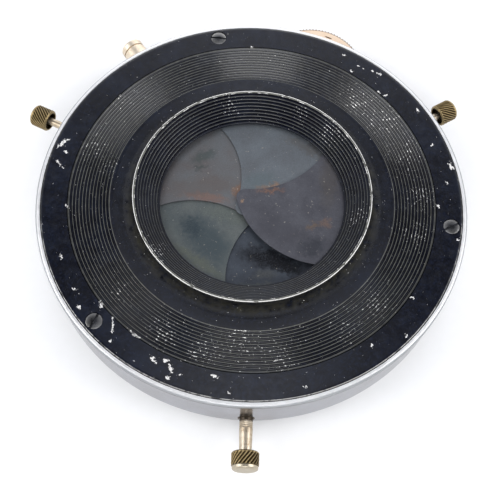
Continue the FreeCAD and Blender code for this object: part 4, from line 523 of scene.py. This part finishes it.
# %% [markdown]
# Bright flecks follow the rubbed groove crests. Their noise is stretched round the axis,
# on coordinates unrolled from the disc. A few stray specks lie anywhere.

# %% Flecks and stray specks
drawn_out = add(enamel, "VectorMath", {0: unrolled, 1: (grain(0.30), grain(0.75), grain(0.30))},
                operation="MULTIPLY")[0]
fleck = add(enamel, "TexNoise", {"Vector": drawn_out, "Scale": 1.0, "Detail": 2})[0]
rubbed = calc(enamel, "MULTIPLY", rub, crest)
rubbed = calc(enamel, "MULTIPLY_ADD", rubbed, 0.2, fleck)
specks = ramp(enamel, rubbed, 0.73, 0.78)
rare = calc(enamel, "MULTIPLY", fray[0], mottle)
stray = ramp(enamel, rare, 0.5, 0.52)
print("enamel nodes with the flecks:", len(enamel.node_tree.nodes))

# %% [markdown]
# The lip of the collar has a bright outer line and a broken inner one. The outer edge of
# the cover is paled on the near side, partly as wear and partly as a painted highlight on
# its chamfer. Then all the losses are joined, and the bare places turn metallic and a
# little rougher.

# %% Lip, edge and the finished enamel
top_land = zone(enamel, spot["Z"], COLLAR_TOP - 0.22, COLLAR_TOP - 0.16)
outer_line = zone(enamel, radius, COLLAR_RADIUS - 0.24, COLLAR_RADIUS - 0.18)
long_streaks = add(enamel, "VectorMath", {0: unrolled, 1: (grain(0.5), grain(3.0), grain(0.5))},
                   operation="MULTIPLY")[0]
streak = add(enamel, "TexNoise", {"Vector": long_streaks, "Scale": 1.0, "Detail": 3})[0]
kept = ramp(enamel, streak, 0.36, 0.4)
outer_line = calc(enamel, "MULTIPLY", outer_line, kept)
inner_line = zone(enamel, radius, LIP_RADIUS + 0.13, LIP_RADIUS + 0.09)
kept = ramp(enamel, streak, 0.55, 0.59)
inner_line = calc(enamel, "MULTIPLY", inner_line, kept)
lip = calc(enamel, "MAXIMUM", outer_line, inner_line)
lip = calc(enamel, "MULTIPLY", lip, top_land)
# Outer edge: wear and a painted highlight on the chamfer, stronger on the near side.
rim_wear_and_highlight = zone(enamel, radius, COVER_RADIUS - 0.22, COVER_RADIUS - 0.14)
near_side = zone(enamel, spot["Y"], 20, -40, -0.1, 0.12)
near_side = calc(enamel, "ADD", near_side, mottle)
near_side = ramp(enamel, near_side, 0.5, 0.6)
rim_wear_and_highlight = calc(enamel, "MULTIPLY", rim_wear_and_highlight, near_side)
rim_wear_and_highlight = calc(enamel, "MULTIPLY", rim_wear_and_highlight, on_top)
rim_wear_and_highlight = calc(enamel, "MULTIPLY", rim_wear_and_highlight, 0.35)
for loss in (specks, stray, lip, rim_wear_and_highlight):
    bare = calc(enamel, "MAXIMUM", bare, loss)
base = blend(enamel, bare, base, BARE_METAL)
half = calc(enamel, "MULTIPLY", bare, 0.6)
shine = ramp(enamel, mottle, 0.3, 0.7, 0.17, 0.27)
shine = calc(enamel, "MULTIPLY_ADD", half, 0.3, shine)
shine = calc(enamel, "MULTIPLY_ADD", foot, 0.6, shine)
skin = add(enamel, "Bump", {"Height": fray[0], "Strength": 0.10, "Distance": 0.03 * MM})[0]
surface(enamel, Base_Color=base, Metallic=half, Roughness=shine, Specular_IOR_Level=mirror, Normal=skin)
belongs(cover, "case", "rear_cover", enamel)
print("enamel nodes:", len(enamel.node_tree.nodes))

# %% [markdown]
# ## Plain metals
# The other finishes share one recipe: two tones of the metal in a mottled mix, fine
# turning or grinding lines, a roughness that varies a little, grime in a darker tone and
# edges paled, partly as wear and partly as a painted highlight. Each finish gives its own
# colours, grain and gloss.

# %% Metal recipe
EVEN = (1, 1, 1)
PALE_EDGE_WEAR_AND_HIGHLIGHT, OIL_AND_SHADE = "#d9d7d2", "#3a3129"


def metal(name, light, dark, gloss, patch_mm, stretch, line_mm, line_depth, grime=None, grime_share=0.0,
          foot_mm=None):
    """A worn metal: tones light and dark in patches, with lines stretched along one way.
    Nearer to the axis of the case than foot_mm it is brown, partly with old oil and partly
    with a painted shade where the stem leaves the wall."""
    material, place = start(name)
    patches = noise(material, place, patch_mm, 5, 0.6)[0]
    patches = ramp(material, patches, 0.32, 0.68)
    tone = blend(material, patches, light, dark)
    squeezed = add(material, "Mapping", {"Vector": place, "Scale": stretch})[0]
    lines = noise(material, squeezed, line_mm, 3)[0]
    if grime:
        dirt = noise(material, place, patch_mm * 0.45, 6, 0.7)[0]
        dirt = ramp(material, dirt, 0.62 - grime_share * 0.3, 0.72)
        tone = blend(material, dirt, tone, grime)
    # Edges are paled: partly wear, partly a painted highlight such as the ring round a screw head.
    edge_wear_and_highlight = add(material, "Attribute", attribute_name="crest")["Fac"]
    edge_wear_and_highlight = calc(material, "MULTIPLY", edge_wear_and_highlight, 0.6)
    tone = blend(material, edge_wear_and_highlight, tone, PALE_EDGE_WEAR_AND_HIGHLIGHT)
    # Near the wall the stem is brown: old oil and a painted shade.
    if foot_mm:
        oily = zone(material, off_axis(material, place), foot_mm + 0.15, foot_mm - 0.15, 0, 0.92)
        tone = blend(material, oily, tone, OIL_AND_SHADE)
    rough = ramp(material, lines, 0.3, 0.7, gloss - 0.05, gloss + 0.08)
    relief = add(material, "Bump", {"Height": lines, "Strength": line_depth, "Distance": 0.02 * MM})[0]
    return surface(material, Base_Color=tone, Metallic=1.0, Roughness=rough, Normal=relief)


METALS = {
    # slot: material name, light tone, dark tone, roughness, patches in mm, stretch of the lines,
    # line width in mm, line depth, grime, share of grime, radius of the foot that is brown
    # with oil and painted shade, in mm
    "stem_nickel_grimed": ("grimed_and_shaded_nickel_on_brass", "#6f6558", "#4f463a", 0.45, 3, EVEN, 0.3, 0.04),
    "barrel_nickel": ("turned_nickel_plate", "#c6c4bd", "#a9a69c", 0.24, 6, (1, 1, 6), 0.5, 0.15,
                      "#6f6756", 0.2),
    "stem_nickel": ("worn_nickel_on_brass", "#cfc4b2", "#b0a088", 0.40, 3, EVEN, 0.3, 0.04, "#8d7657", 0.3,
                    60.2),
    "socket_nickel": ("pale_nickel_on_brass", "#e6dac8", "#d0bfa6", 0.40, 4, EVEN, 0.3, 0.04, "#a08c6c",
                      0.05),
    "black_screws": ("blackened_steel_screws", "#55565a", "#2e2f31", 0.30, 1.2, EVEN, 0.2, 0.15, "#8a8884",
                     0.05),
    "plate_brass": ("satin_sheet_brass", "#c3a468", "#9c7c45", 0.34, 7, EVEN, 0.4, 0.2, "#57432a", 0.2),
    "ring_brass": ("turned_brass_rings", "#c8aa6c", "#a4854b", 0.30, 5, EVEN, 0.4, 0.2, "#4f3d26", 0.2),
    "pillar_brass": ("turned_brass_pillars", "#c9aa6b", "#a17f46", 0.30, 3, (1, 1, 5), 0.3, 0.2, "#54402a",
                     0.2),
    "train_brass": ("cut_wheel_brass", "#cdb074", "#a8894f", 0.27, 2, EVEN, 0.2, 0.2, "#4b3a22", 0.2),
    "keeper_steel": ("spring_steel_keepers", "#a9abae", "#84868a", 0.27, 4, EVEN, 0.3, 0.2, "#4c4a46", 0.2),
    "pin_steel": ("turned_steel_pins", "#aeb0b3", "#8a8c90", 0.25, 2, (1, 1, 5), 0.2, 0.2, "#4a4642", 0.2),
    "lever_steel": ("ground_steel_levers", "#9fa1a4", "#76787c", 0.30, 4, EVEN, 0.3, 0.25, "#51473c", 0.2),
    "spring_steel": ("blued_spring_wire", "#3c4458", "#2a3040", 0.28, 2, EVEN, 0.2, 0.2, "#4a3d33", 0.1),
    "leaf_steel": ("blackened_steel_leaves", "#2f3238", "#1d1f24", 0.40, 6, EVEN, 0.5, 0.15, "#4b3f36",
                   0.1),
}
FINISHES = {slot: metal(*row) for slot, row in METALS.items()}
print("metals:", len(FINISHES))

# %% [markdown]
# ## Nickelled wall and its rim
# The drum is brass tube, polished and nickelled, so its wall mirrors the floor. The rolled
# bead round the top edge has been rubbed by hands to a rougher, more scattering finish,
# and its white is partly that wear and partly a painted highlight, strongest at its crown.
# A painted shadow lies in the seam under it. Both are one piece, so one material changes
# with height and radius. Fine lines run round the wall, and a dull tarnish lies in soft
# clouds.

# %% Wall finish
wall, place = start("polished_nickel_plate")
SEAM, BEAD_OUTER, BEAD_INNER = 22.2, 59.75, 59.3
lift = add(wall, "SeparateXYZ", {0: place})["Z"]
bead = zone(wall, lift, SEAM, SEAM + 0.3)
reach = off_axis(wall, place)
# Painted highlight and wear: the bead goes whiter towards its crown.
crown_highlight = zone(wall, reach, BEAD_OUTER, BEAD_INNER, smooth=True)
from_seam = calc(wall, "SUBTRACT", lift, SEAM * MM)
from_seam = calc(wall, "ABSOLUTE", from_seam)
# Painted shadow in the seam under the overhanging bead.
seam_shadow = zone(wall, from_seam, 0.4, 0.25, 0, 0.9)
tarnish = noise(wall, place, 12, 4, 0.6)[0]
tarnish = ramp(wall, tarnish, 0.35, 0.7)
smudge = noise(wall, place, 2.5, 4)[0]
tone = blend(wall, tarnish, "#9b9ca3", "#8b898c")
worn = blend(wall, crown_highlight, "#94979b", "#ffffff")
smudge = calc(wall, "MULTIPLY", smudge, 0.3)
worn = blend(wall, smudge, worn, "#d9d6d0")
tone = blend(wall, bead, tone, worn)
tone = blend(wall, seam_shadow, tone, "#2c292c")
squeezed = add(wall, "Mapping", {"Vector": place, "Scale": (1, 1, 7)})[0]
lines = noise(wall, squeezed, 1.6, 4)[0]
gloss = ramp(wall, lines, 0.3, 0.7, 0.12, 0.24)
gloss = calc(wall, "MULTIPLY_ADD", bead, 0.26, gloss)
brushed = add(wall, "Bump", {"Height": lines, "Strength": 0.12, "Distance": 0.02 * MM})[0]
surface(wall, Base_Color=tone, Metallic=1.0, Roughness=gloss, Normal=brushed)
FINISHES["nickelled_wall"] = wall
print("seam at", SEAM, "mm up")

# %% [markdown]
# ## Copper speed wheel
# Only a sliver of the wheel stands out of the wall. It is red copper rubbed pale by
# thumbs, dark in the notches of its edge, with one black index line near the rim. The
# dark edge is found from the wheel's own centre. Both marks turn with the wheel, since
# object coordinates move with the object.

# %% Wheel finish
copper, place = start("rubbed_copper")
WHEEL_LOW, WHEEL_HIGH = (Vector(corner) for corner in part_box("speed_wheel"))
hub = (WHEEL_LOW + WHEEL_HIGH) / 2
WHEEL_REACH = (WHEEL_HIGH.x - WHEEL_LOW.x) / 2
INDEX_LINE = ((20.4, 63.6), (22.6, 62.7), 0.42)
from_hub = add(copper, "VectorMath", {0: place, 1: tuple(hub)}, operation="SUBTRACT")[0]
reach = off_axis(copper, from_hub)
patches = noise(copper, place, 5, 4, 0.6)[0]
tone = blend(copper, patches, "#f8e6d0", "#efcfb0")
# Darker in a band along the notched edge.
darker_rim = ramp(copper, reach, WHEEL_REACH - 0.6 * MM, WHEEL_REACH - 0.35 * MM, 0, 0.8)
tone = blend(copper, darker_rim, tone, "#6b5a50")
(x0, y0), (x1, y1), width = INDEX_LINE
local = add(copper, "Mapping", {"Vector": place, "Location": ((x0 + x1) / 2 * MM, (y0 + y1) / 2 * MM, 0),
                                "Rotation": (0, 0, math.atan2(y1 - y0, x1 - x0)),
                                "Scale": (math.hypot(x1 - x0, y1 - y0) / 2 * MM, width / 2 * MM, 1)},
            vector_type="TEXTURE")[0]
line = length(copper, local)
line = ramp(copper, line, 1.1, 0.95)
tone = blend(copper, line, tone, "#3a2414")
turning = noise(copper, reach, 0.3, 2)[0]
gloss = ramp(copper, turning, 0.3, 0.7, 0.32, 0.44)
surface(copper, Base_Color=tone, Metallic=1.0, Roughness=gloss)
FINISHES["wheel_copper"] = copper
print("wheel radius in mm", round(WHEEL_REACH / MM, 2))

# %% [markdown]
# ## Blade steel
# The closed blades are thin spring steel, oiled and long stored: grey-blue, greener at
# the lower left, nearly black in one place and rusty along the seams near the middle.
# The stains are long patches at places read off the photograph, frayed by a noise.

# %% Tones and stains of the blades
BLADES = {
    # light tone, dark tone and stains; a stain has its colour, middle in mm, half length
    # and half width in mm, turn in degrees and strength
    "shutter_blade_1": ("#57585f", "#494950", (
        ("#775c50", 5.0, 4.0, 3.4, 0.8, 8, 0.9), ("#9c8068", -2.6, 0.3, 0.9, 0.5, 70, 0.9),
        ("#6c5b54", 20.8, -5.6, 1.8, 1.5, 0, 0.9), ("#66584e", 17.2, -6.6, 1.8, 1.0, 20, 0.9),
        ("#2b2e36", 17.0, -13.0, 4.0, 2.4, 20, 0.7),
        ("#4f4a46", 21.5, 8.0, 2.5, 8.0, 0, 0.6), ("#3f3f46", 8.0, -8.0, 8.0, 4.0, -40, 0.5))),
    "shutter_blade_2": ("#686e74", "#5f6368", (
        ("#8a6f5e", 5.0, 5.2, 3.6, 1.3, 8, 1.0), ("#6a5650", 13.5, 7.4, 5.2, 1.0, 33, 0.55),
        ("#54504c", 15.0, 19.0, 7.0, 1.6, -30, 0.6), ("#58666a", 2.0, 7.0, 5.0, 3.0, 10, 0.5))),
    "shutter_blade_3": ("#666a6e", "#625f60", (
        ("#77625b", -13.0, 1.4, 6.2, 1.4, -6, 1.0), ("#7c6253", -3.6, 4.2, 2.4, 1.7, 60, 0.95),
        ("#9c7a62", -2.2, 0.8, 1.2, 0.9, 60, 1.0), ("#3e4a48", -14.5, 14.8, 4.0, 1.6, 30, 0.7),
        ("#3c4644", -15.2, 11.0, 1.6, 0.9, 10, 0.7), ("#5f5652", -14.0, 5.0, 9.0, 3.0, 8, 0.6))),
    "shutter_blade_4": ("#626766", "#535a5c", (
        ("#3a464c", -12.5, -12.0, 9.5, 4.6, -40, 0.85), ("#23323c", -16.5, -8.0, 3.6, 2.4, -50, 0.6),
        ("#626862", -7.0, -3.5, 7.0, 2.4, -10, 0.6), ("#5c6054", -14.0, -18.5, 9.0, 1.4, -32, 0.6))),
    "shutter_blade_5": ("#454b54", "#353941", (
        ("#04060e", 5.4, -16.4, 8.8, 2.8, -12, 1.0), ("#04060e", 10.6, -18.8, 4.8, 2.0, -20, 1.0),
        ("#4c4e4e", 4.5, -21.2, 3.0, 1.4, 10, 0.7), ("#50524c", 6.0, -25.0, 12.0, 1.2, 4, 0.6))),
}
print("stains:", sum(len(stains) for light, dark, stains in BLADES.values()))

# %% [markdown]
# Each blade gets a material of its own from one function. It lays the stains over the
# mottled tone one by one, then adds grit, pale motes of dust and an uneven film of oil.

# %% Blued blades
STAIN_FRAY, DUST_MOTE = 6.0, "#a9a49a"


def blued_blade(name, light, dark, stains):
    """One blade: a mottled tone, its stains, dust motes and an uneven film of oil."""
    blade, place = start("blued_spring_steel_of_" + name)
    cloud = noise(blade, place, 7, 6, 0.62)[0]
    cloud = ramp(blade, cloud, 0.35, 0.65)
    fleck = noise(blade, place, 1.6, 6, 0.65)
    motes = noise(blade, place, 0.5, 2)[0]
    sand = noise(blade, place, 0.35, 4, 0.7)[0]
    broken = ramp(blade, sand, 0.36, 0.53, 0.45)
    tone = blend(blade, cloud, light, dark)
    ragged = add(blade, "VectorMath", {0: fleck["Color"], 1: (STAIN_FRAY * MM, STAIN_FRAY * MM, 0), 2: place},
                 operation="MULTIPLY_ADD")[0]
    for code, x, y, long_half, wide_half, degrees, strength in stains:
        local = add(blade, "Mapping", {
            "Vector": ragged, "Location": ((x + STAIN_FRAY / 2) * MM, (y + STAIN_FRAY / 2) * MM, 0),
            "Rotation": (0, 0, math.radians(degrees)),
            "Scale": (long_half * MM, wide_half * MM, 1)}, vector_type="TEXTURE")[0]
        gap = length(blade, local)
        stain = ramp(blade, gap, 1.5, 0.4, 0, strength, smooth=True)
        stain = calc(blade, "MULTIPLY", stain, broken)
        tone = blend(blade, stain, tone, code)
    grit = ramp(blade, sand, 0.3, 0.7, 0.78, 1.06)
    tone = add(blade, "VectorMath", {0: tone, 1: grit}, operation="MULTIPLY")[0]
    mote = calc(blade, "MULTIPLY", motes, fleck[0])
    mote = ramp(blade, mote, 0.38, 0.43, 0, 0.5)
    tone = blend(blade, mote, tone, DUST_MOTE)
    oily = ramp(blade, fleck[0], 0.3, 0.7, 0.38, 0.55)
    return surface(blade, Base_Color=tone, Metallic=0.55, Roughness=oily)


BY_NODE = {name: blued_blade(name, *finish) for name, finish in BLADES.items()}
FINISHES["front_enamel"] = enamel
print("blades:", len(BY_NODE))

# %% [markdown]
# ## Knurled brass knobs
# Each knob is turned, then rolled with a coarse slanting knurl. The knurl is real
# relief: the radius of the rings follows slanting ridges, rounded at the crest and
# sharp in the valley, and the valleys are coloured dark brown.

# %% Knob finish
knurled, place = start("knurled_brass_browned")
ridge = add(knurled, "Attribute", attribute_name="crest")["Fac"]
smear = noise(knurled, place, 1.4, 5, 0.6)[0]
brown = blend(knurled, smear, "#2a2117", "#44361f")
gold = blend(knurled, smear, "#b3a07a", "#8b7850")
share = ramp(knurled, ridge, 0.35, 0.95)
tone = blend(knurled, share, brown, gold)
# The end band of the iris knob is polished paler by the finger that turns it.
IRIS_BAND = -71.9
ahead_of_band = add(knurled, "SeparateXYZ", {0: place})["Y"]
band = zone(knurled, ahead_of_band, IRIS_BAND + 0.15, IRIS_BAND - 0.15, 0, 0.85)
tone = blend(knurled, band, tone, "#b4ab9a")
rough = ramp(knurled, share, 0, 1, 0.55, 0.34)
surface(knurled, Base_Color=tone, Metallic=1.0, Roughness=rough)
print("knurl nodes:", len(knurled.node_tree.nodes))

# %% [markdown]
# All three knobs come from one function. It runs along the profile from the face that
# looks at the case, with its recess round the stem, over the knurled band to the plain
# chamfered end. The slant shifts the ridges a little from ring to ring.

# %% Knobs
RIDGE_COUNT, RIDGE_DEPTH, SLANT, BAND_ROWS = 22, 0.36, math.radians(40), 30
PARTS_OF = {"cocking_knob": "cocking", "release_knob": "release", "iris_knob": "iris_control"}


def knurled_knob(name, radius, inner, length, bore, recess, angle, height, band_share):
    """A knob with a knurled band, a plain chamfered end and a recess round its stem."""
    outer = inner + length
    first, last = inner + 0.35, inner + band_share * length
    band = [(radius, first + (last - first) * step / BAND_ROWS, 1) for step in range(BAND_ROWS + 1)]
    rings = [(bore, inner + recess, 0), (bore + 0.25, inner + recess, 0), (radius - 0.85, inner + recess, 0),
             (radius - 0.75, inner + recess - 0.1, 0), (radius - 0.75, inner + 0.1, 0.3),
             (radius - 0.65, inner, 0.9), (radius - 0.35, inner, 0.9)]
    lead = len(rings)
    rings += band
    rings += [(radius - 0.3, last + 0.02, 0.3), (radius - 0.22, last + 0.12, 0.9),
              (radius - 0.22, outer - 0.5, 0.95), (radius - 0.3, outer - 0.35, 1),
              (radius - 0.7, outer - 0.05, 0.9), (radius - 0.85, outer, 0.8), (radius * 0.5, outer, 0.7),
              (0, outer, 0.7), (0, outer - 0.5, 0), (bore, outer - 0.5, 0)]

    def relief(steps, index):
        if not lead <= index <= lead + BAND_ROWS:
            return 0 * steps, 0 * steps + rings[index][2]
        run = (rings[index][1] - first) * math.tan(SLANT) / radius
        share = ((steps - run) * RIDGE_COUNT / (2 * math.pi)) % 1.0
        top = 1 - np.abs(2 * share - 1)
        # The knurl fades out at both ends of its band.
        fade = min(1.0, (rings[index][1] - first) / 0.35 + 0.25, (last - rings[index][1]) / 0.3 + 0.25)
        return RIDGE_DEPTH * (top ** 0.8 - 1) * fade, 1 - (1 - top) * fade

    piece = lathe(name + "_knurled", rings, segments=RIDGE_COUNT * 10, relief=relief)
    along_radius(piece, angle, height)
    belongs(piece, PARTS_OF[name], name, knurled)
    print(name, len(piece.data.polygons), "faces")


knurled_knob("cocking_knob", 3.2, 64.8, 5.6, 1.1, 1.3, 32.8, 15.8, 0.86)
knurled_knob("release_knob", 3.2, 66.7, 5.6, 1.1, 1.3, 156.4, 15.8, 0.86)
knurled_knob("iris_knob", 3.7, 68.2, 4.9, 1.2, 0.0, -88.8, 10.4, 0.74)

# %% [markdown]
# ## Slotted screws
# A cover screw is a turned cheese head with a soft dome and a broken edge, sawn across
# for the driver. The measured head is plain, so each is turned again here with its dome.
# A thin box is taken out of it with the exact Boolean, which leaves crisp slot walls.

# %% Cover screws
HEAD_HEIGHT, SHANK_RADIUS, SHANK_FOOT = 0.7, 1.1, 19.1
SLOT_WIDTH, SLOT_DEPTH = 0.55, 0.35
head = HEAD_SEAT + 0.02
dome = head + HEAD_HEIGHT
profile = [(0, SHANK_FOOT, 0), (SHANK_RADIUS - 0.2, SHANK_FOOT, 0), (SHANK_RADIUS, SHANK_FOOT + 0.2, 0),
           (SHANK_RADIUS, head, 0), (2.28, head, 0), (2.28, dome - 0.28, 0.2), (2.2, dome - 0.18, 1),
           (1.9, dome - 0.12, 0.4), (1.3, dome - 0.07, 0.2), (0.6, dome - 0.03, 0), (0, dome - 0.02, 0)]
screws = []
for angle, slot_turn in COVER_SCREWS.items():
    screw = lathe("cover_screw", profile, segments=64, closed=False)
    box = bpy.data.meshes.new("slot")
    work = bmesh.new()
    bmesh.ops.create_cube(work, size=1.0)
    bmesh.ops.scale(work, vec=(6 * MM, SLOT_WIDTH * MM, 1 * MM), verts=work.verts)
    lift = Matrix.Translation((0, 0, (dome - SLOT_DEPTH + 0.5) * MM))
    turn_slot = Matrix.Rotation(math.radians(slot_turn), 4, "Z")
    bmesh.ops.transform(work, matrix=lift @ turn_slot, verts=work.verts)
    work.to_mesh(box)
    work.free()
    screw.data = carved(screw, box)
    spot = Vector((math.cos(math.radians(angle)), math.sin(math.radians(angle)), 0)) * SCREW_CIRCLE * MM
    screw.data.transform(Matrix.Translation(spot))
    screws.append(screw)
# The three screws stand for one piece, so they become one mesh.
joined = bmesh.new()
for screw in screws:
    joined.from_mesh(screw.data)
heads = screws[0]
joined.to_mesh(heads.data)
joined.free()
for screw in screws[1:]:
    bpy.data.objects.remove(screw)
heads.name = "cover_screws_sawn"
belongs(heads, "case", "cover_screws", FINISHES["black_screws"])
print("screws:", len(COVER_SCREWS), "faces:", len(heads.data.polygons))

# %% [markdown]
# ## Threaded front barrel
# The lens cell screws into the front barrel. The thread is cut relief: the radius follows
# a helix, a rounded ridge that climbs one pitch for each turn. The outside is plain
# turned nickel with a knurled gripping band on its flange.

# %% Front barrel
barrel_corner = Vector(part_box("front_barrel")[1]) / MM
FLANGE_RADIUS, BARREL_HEIGHT = barrel_corner.x, barrel_corner.z
THREAD_RADIUS, THREAD_LENGTH, PITCH, THREAD_DEPTH = 30.0, 4.0, 0.75, 0.3
ROWS_PER_TURN, TEETH, TOOTH_DEPTH, BREAK = 8, 180, 0.14, 0.15
BARREL_RADIUS, BORE, SPIGOT, FLANGE_FOOT, FLANGE_TOP = 34.0, 27.0, 31.0, 4.75, 6.55
rows = int(THREAD_LENGTH / PITCH * ROWS_PER_TURN)
thread = [(THREAD_RADIUS, BREAK + (THREAD_LENGTH - BREAK) * step / rows, 0) for step in range(rows + 1)]
outside = [(BORE, THREAD_LENGTH, 0), (BORE, BARREL_HEIGHT, 0), (SPIGOT, BARREL_HEIGHT, 0),
           (SPIGOT, FLANGE_TOP, 0), (FLANGE_RADIUS - BREAK, FLANGE_TOP, 1),
           (FLANGE_RADIUS, FLANGE_TOP - BREAK, 1), (FLANGE_RADIUS, FLANGE_FOOT + BREAK, 1),
           (FLANGE_RADIUS - BREAK, FLANGE_FOOT, 1), (BARREL_RADIUS, FLANGE_FOOT, 0), (BARREL_RADIUS, 0.5, 0),
           (BARREL_RADIUS - BREAK, BREAK, 1), (BARREL_RADIUS - 0.5, 0, 1), (THREAD_RADIUS + 0.25, 0, 1)]
knurled_rows = [len(thread) + 5, len(thread) + 6]  # the two rows of the flange's edge


def barrel_relief(steps, index):
    """A helical ridge on the threaded rows and teeth of a knurl round the flange."""
    if index < len(thread):
        share = (thread[index][1] / PITCH - steps / (2 * math.pi)) % 1.0
        return THREAD_DEPTH * (0.5 - 0.5 * np.cos(2 * math.pi * share)), 0 * steps
    if index in knurled_rows:
        return -TOOTH_DEPTH * (0.5 - 0.5 * np.cos(steps * TEETH)), 0 * steps + 1
    return 0 * steps, 0 * steps + outside[index - len(thread)][2]


barrel = lathe("front_barrel_threaded", thread + outside, segments=720, relief=barrel_relief)
belongs(barrel, "case", "front_barrel", FINISHES["barrel_nickel"])
print("thread turns:", round(THREAD_LENGTH / PITCH, 1), "faces:", len(barrel.data.polygons))

# %% [markdown]
# ## Finishes on the measured pieces
# Every other piece keeps its measured solid. Its slot in the record names the finish.
# The five blades have finishes of their own, and so has the bush of the bottom shaft,
# which is dark with old oil and with a painted shade where the shaft leaves the wall.

# %% Assign the finishes
# The bush is darkened: old oil, and a painted shade at the wall.
BY_NODE["iris_shaft_bush"] = FINISHES["stem_nickel_grimed"]
for name, item in nodes.items():
    for index, old in enumerate(item.data.materials):
        finish = BY_NODE.get(name) or FINISHES.get(old.name.split(".")[0])
        if finish:
            item.data.materials[index] = finish
finished = list(FINISHES.values()) + list(BY_NODE.values())
bare_slots = {old.name for item in nodes.values() if not item.hide_render for old in item.data.materials
              if old not in finished}
print("slots without a finish:", sorted(bare_slots))
